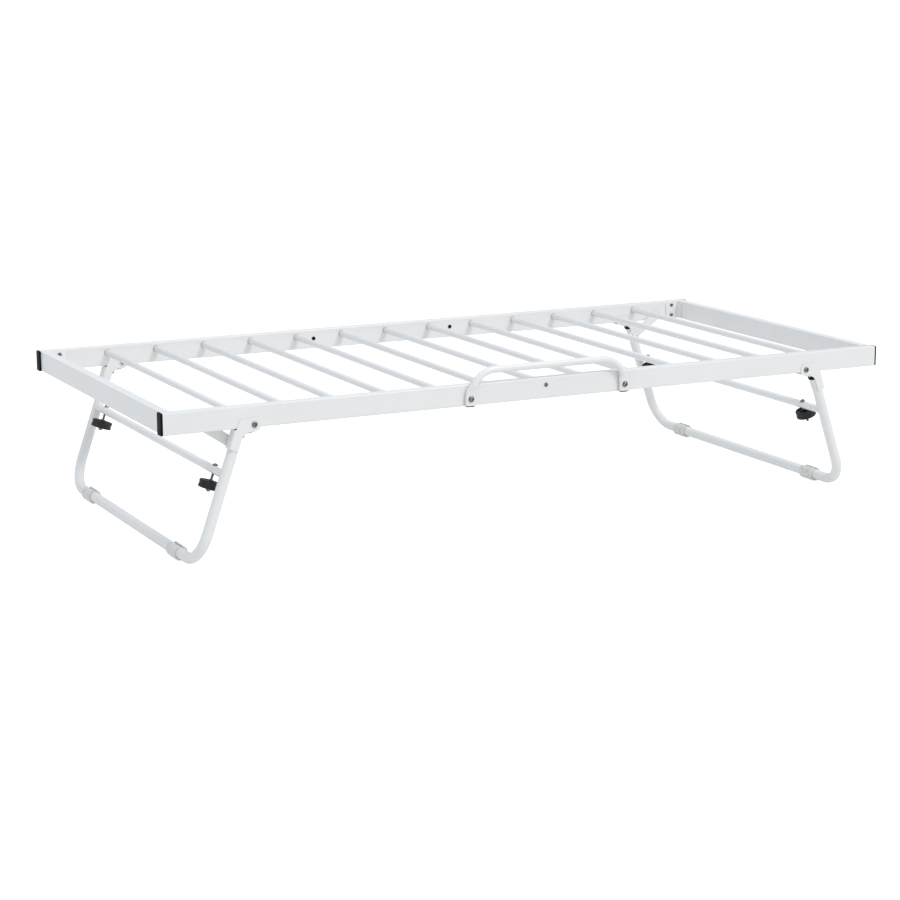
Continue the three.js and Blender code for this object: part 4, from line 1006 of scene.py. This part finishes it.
def foot_clip(leg, side):
    """Foot clip: a sleeve round the foot bar, open along its top, its outside cut off level at the floor.

    Section: out round the angle from one lip to the other at the outer radius, back at the inner one,
    with the lips rounded; heights under the floor line are raised to it. Rings near both ends shrink.
    """
    node = f"{side}_{leg.end}_foot_clip"
    low, high = low_high(node)
    middle = leg.at(leg.bar_reach, LEG_OFFSET, 0)
    inner, outer = LEG_RADIUS + GAP, FOOT_HEIGHT + 0.4 * MM
    opening = math.asin(7 * MM / outer)  # half the angle that is open on top
    a = np.linspace(math.pi / 2 + opening, 5 * math.pi / 2 - opening, 61)
    t = np.linspace(0, math.pi, 9)[1:-1]
    mean, half = (inner + outer) / 2, (outer - inner) / 2
    radius = np.concatenate([np.full(len(a), outer), mean + half * np.cos(t),
                             np.full(len(a), inner), mean - half * np.cos(t)])
    angle = np.concatenate([a, a[-1] + half / outer * np.sin(t), a[::-1], a[0] - half / outer * np.sin(t)])
    section = radius[:, None] * np.stack([np.cos(angle), np.sin(angle)], -1)
    section[:, 1] = np.maximum(section[:, 1], -middle[2] + low[2])
    length = high[1] - low[1]
    ends = np.array([0, 0.25, 0.7, 1.4]) * MM
    draw = np.array([0.6, 0.3, 0.1, 0.0])
    grooves = length * np.array([0.3, 0.31, 0.33, 0.34, 0.66, 0.67, 0.69, 0.7])
    stations = np.concatenate([ends, grooves, (length - ends)[::-1]])
    # pull moves the outer wall in towards the bar, at the ends and in two shallow grooves
    pull = np.concatenate([draw, [0, 0.35, 0.35, 0] * 2, draw[::-1]])
    inside = section / np.linalg.norm(section, axis=1, keepdims=True) * inner
    rings = section[None] + pull[:, None, None] * (inside - section)[None] * 0.8
    world = (np.array([middle[0], 0, middle[2]]) + rings[..., :1] * X + rings[..., 1:] * Z
             + (low[1] + stations)[:, None, None] * Y)
    add(f"{side}_{leg.end}_foot_sleeve", loft(world), leg.body, "cream_clip_plastic", [node])


def latch_arm(leg):
    """Latch arm: a flat bar with one round end and a notch that opens downward, its edges rounded.

    Outline in steps t along the bar and s above its middle: round the pivot end, along the lower edge,
    up an arc about the bar's pivot, over the stud's seat, out along an arc about the leg's pivot,
    round the chamfered tip and back along the top.
    """
    sign = SIDE_SIGN[leg.latch_side]
    mirror = np.array([1 if leg.end == "left" else -1, 1])
    node = f"{leg.end}_latch_arm"
    place = np.array(JOINTS[f"{leg.end}_latch_lift"]["pos_m"])
    pivot = place[[0, 2]] * mirror
    stud = leg.at(*LATCH_STUD)[[0, 2]] * mirror
    along = np.array([math.cos(LATCH_SLOPE), -math.sin(LATCH_SLOPE)])
    above = np.array([math.sin(LATCH_SLOPE), math.cos(LATCH_SLOPE)])
    span = np.linalg.norm(stud - pivot)
    reach = span + LATCH_TIP
    hinge = np.array([(leg.pivot[[0, 2]] * mirror - pivot) @ axis for axis in (along, above)])

    def arc(middle, radius, start, stop, steps=16):
        """Points on a circle, at angles from the t axis towards the s axis."""
        turn = np.linspace(start, stop, steps)
        return middle + radius * np.stack([np.cos(turn), np.sin(turn)], -1)

    to_hinge = math.atan2(hinge[1], hinge[0] - span)
    fold_radius = math.hypot(hinge[1], hinge[0] - span) - LATCH_SEAT
    lift_radius = span - LATCH_SEAT
    exit_turn = -math.pi / 2 + math.asin((reach - hinge[0]) / fold_radius)
    outline = np.vstack([
        arc(0, LATCH_HALF, math.pi / 2, 3 * math.pi / 2, 24),
        arc(0, lift_radius, -math.asin(LATCH_HALF / lift_radius), 0, 6),
        arc((span, 0), LATCH_SEAT, math.pi, to_hinge)[1:-1],
        arc(hinge, fold_radius, to_hinge - math.pi, exit_turn, 6),
        [(reach, LATCH_HALF - LATCH_CHAMFER), (reach - LATCH_CHAMFER, LATCH_HALF)]])
    outline = (pivot + outline[:, :1] * along + outline[:, 1:] * above) * mirror
    low, high = low_high(node)
    count = len(outline)
    points = np.vstack([np.insert(outline, 1, y, axis=1) for y in (low[1], high[1])])
    i = np.arange(count)
    j = (i + 1) % count
    faces = np.stack([i, j, j + count, i + count], -1).tolist() + [i[::-1].tolist(), (i + count).tolist()]
    add(f"{leg.end}_latch_bar", (points, faces), f"{leg.end}_latch", "white_powder_coat", [node],
        [((place[0], (low[1] + high[1]) / 2, place[2]), Y, BOLT_HOLE, 6 * MM)], edge=0.4 * MM)

    face = (place[0], CENTRE_Y + sign * RAIL_INNER_Y, place[2])
    profile = rounded(MM * np.array([(0, -0.7), (5, -0.7), (5, 2.1), (3, 2.1), (3, 4.7), (6.5, 4.7),
                                     (6.5, 5.6), (5.4, 6.3), (0, 6.3)]), 0.4 * MM)
    add(f"{leg.end}_latch_pivot_stud", turned(profile, face, -sign * Y), "bed_frame", "zinc_plated_steel")


# ---- The whole bed ------------------------------------------------------------------------------
for side_name in SIDE_SIGN:
    side_rail(side_name)
for end_name in END_SIGN:
    end_rail(end_name)
    for side_name in SIDE_SIGN:
        rail_cap(side_name, end_name)
        corner_angle(side_name, end_name)
for slat_name in SLATS:
    slat(slat_name)
small_frame_hardware()
handle()
for end_name in END_SIGN:
    made_leg = Leg(end_name)
    leg_tube(made_leg)
    crossbar(made_leg)
    latch_arm(made_leg)
    for side_name in SIDE_SIGN:
        hinge_channel(made_leg, side_name)
        leg_plug(made_leg, side_name)
        pivot_bolt(made_leg, side_name)
        roller(made_leg, side_name)
        axle_bolt(made_leg, side_name)
        foot_clip(made_leg, side_name)


# ---- Studio -------------------------------------------------------------------------------------
def studio_floor():
    """Large grey floor. Its glow makes it white in view, and is weaker as light on the bed."""
    half = 40.0
    mesh = bpy.data.meshes.new("studio_floor")
    mesh.from_pydata([(-half, -half, 0), (half, -half, 0), (half, half, 0), (-half, half, 0)], [],
                     [(0, 1, 2, 3)])
    floor = placed("studio_floor", mesh)
    material = bpy.data.materials.new("studio_floor")
    material.use_nodes = True
    surface = material.node_tree.nodes["Principled BSDF"]
    surface.inputs["Base Color"].default_value = (0.5, 0.5, 0.5, 1)
    surface.inputs["Roughness"].default_value = 0.9
    surface.inputs["Specular IOR Level"].default_value = 0.0
    surface.inputs["Emission Color"].default_value = (1, 1, 0.995, 1)
    rays = material.node_tree.nodes.new("ShaderNodeLightPath")
    glow = spread(material.node_tree, rays.outputs["Is Camera Ray"], 0.0, 1.0, 0.36, 0.75)
    material.node_tree.links.new(glow, surface.inputs["Emission Strength"])
    mesh.materials.append(material)


def soft_sun(name, strength, spread_degrees, azimuth, elevation, colour):
    """Broad soft light from an azimuth (0 is the handle side, turning to +X) and an elevation."""
    light = bpy.data.lights.new(name, "SUN")
    light.energy, light.angle, light.color = strength, math.radians(spread_degrees), colour
    lamp = placed(name, light)
    lamp.rotation_euler = (math.radians(90 - elevation), 0, math.radians(azimuth))


def studio_world():
    """Sky of soft boxes: white round the horizon, cooler and brighter overhead; the camera sees white."""
    world = bpy.data.worlds.new("studio")
    bpy.context.scene.world = world
    world.use_nodes = True
    tree = world.node_tree
    tree.nodes.clear()
    output = tree.nodes.new("ShaderNodeOutputWorld")
    place = tree.nodes.new("ShaderNodeTexCoord")
    split = tree.nodes.new("ShaderNodeSeparateXYZ")
    tree.links.new(place.outputs["Generated"], split.inputs[0])
    height = spread(tree, split.outputs["Z"], 0.1, 0.95, 0.0, 1.0)
    front = spread(tree, split.outputs["Y"], -0.9, 0.9, 0.0, 1.0)
    ring_front, ring_back, overhead = (0.66, 0.66, 0.65, 1), (0.67, 0.69, 0.72, 1), (1.22, 1.30, 1.42, 1)
    sky = mixed(tree, height, mixed(tree, front, ring_front, ring_back), overhead)
    soft, plain = tree.nodes.new("ShaderNodeBackground"), tree.nodes.new("ShaderNodeBackground")
    tree.links.new(sky, soft.inputs["Color"])
    soft.inputs["Strength"].default_value = 0.825
    plain.inputs["Color"].default_value = (1, 1, 1, 1)
    plain.inputs["Strength"].default_value = 1.05
    rays, choose = tree.nodes.new("ShaderNodeLightPath"), tree.nodes.new("ShaderNodeMixShader")
    tree.links.new(rays.outputs["Is Camera Ray"], choose.inputs["Fac"])
    tree.links.new(soft.outputs[0], choose.inputs[1])
    tree.links.new(plain.outputs[0], choose.inputs[2])
    tree.links.new(choose.outputs[0], output.inputs["Surface"])


def camera():
    """Camera at the front left, a little above the bed."""
    data = bpy.data.cameras.new("camera")
    data.sensor_width, data.lens = 36.0, 90.44
    data.clip_start, data.clip_end = 0.1, 200.0
    eye = placed("camera", data)
    eye.location = (-2.556, -4.9486, 1.3225)
    eye.rotation_euler = (math.radians(90 - 12.34), 0, math.radians(-27.07))
    bpy.context.scene.camera = eye


studio_floor()
studio_world()
soft_sun("key", 1.0, 14, 27, 48, (1.0, 0.98, 0.95))
camera()
bpy.context.scene.view_settings.view_transform = "Standard"
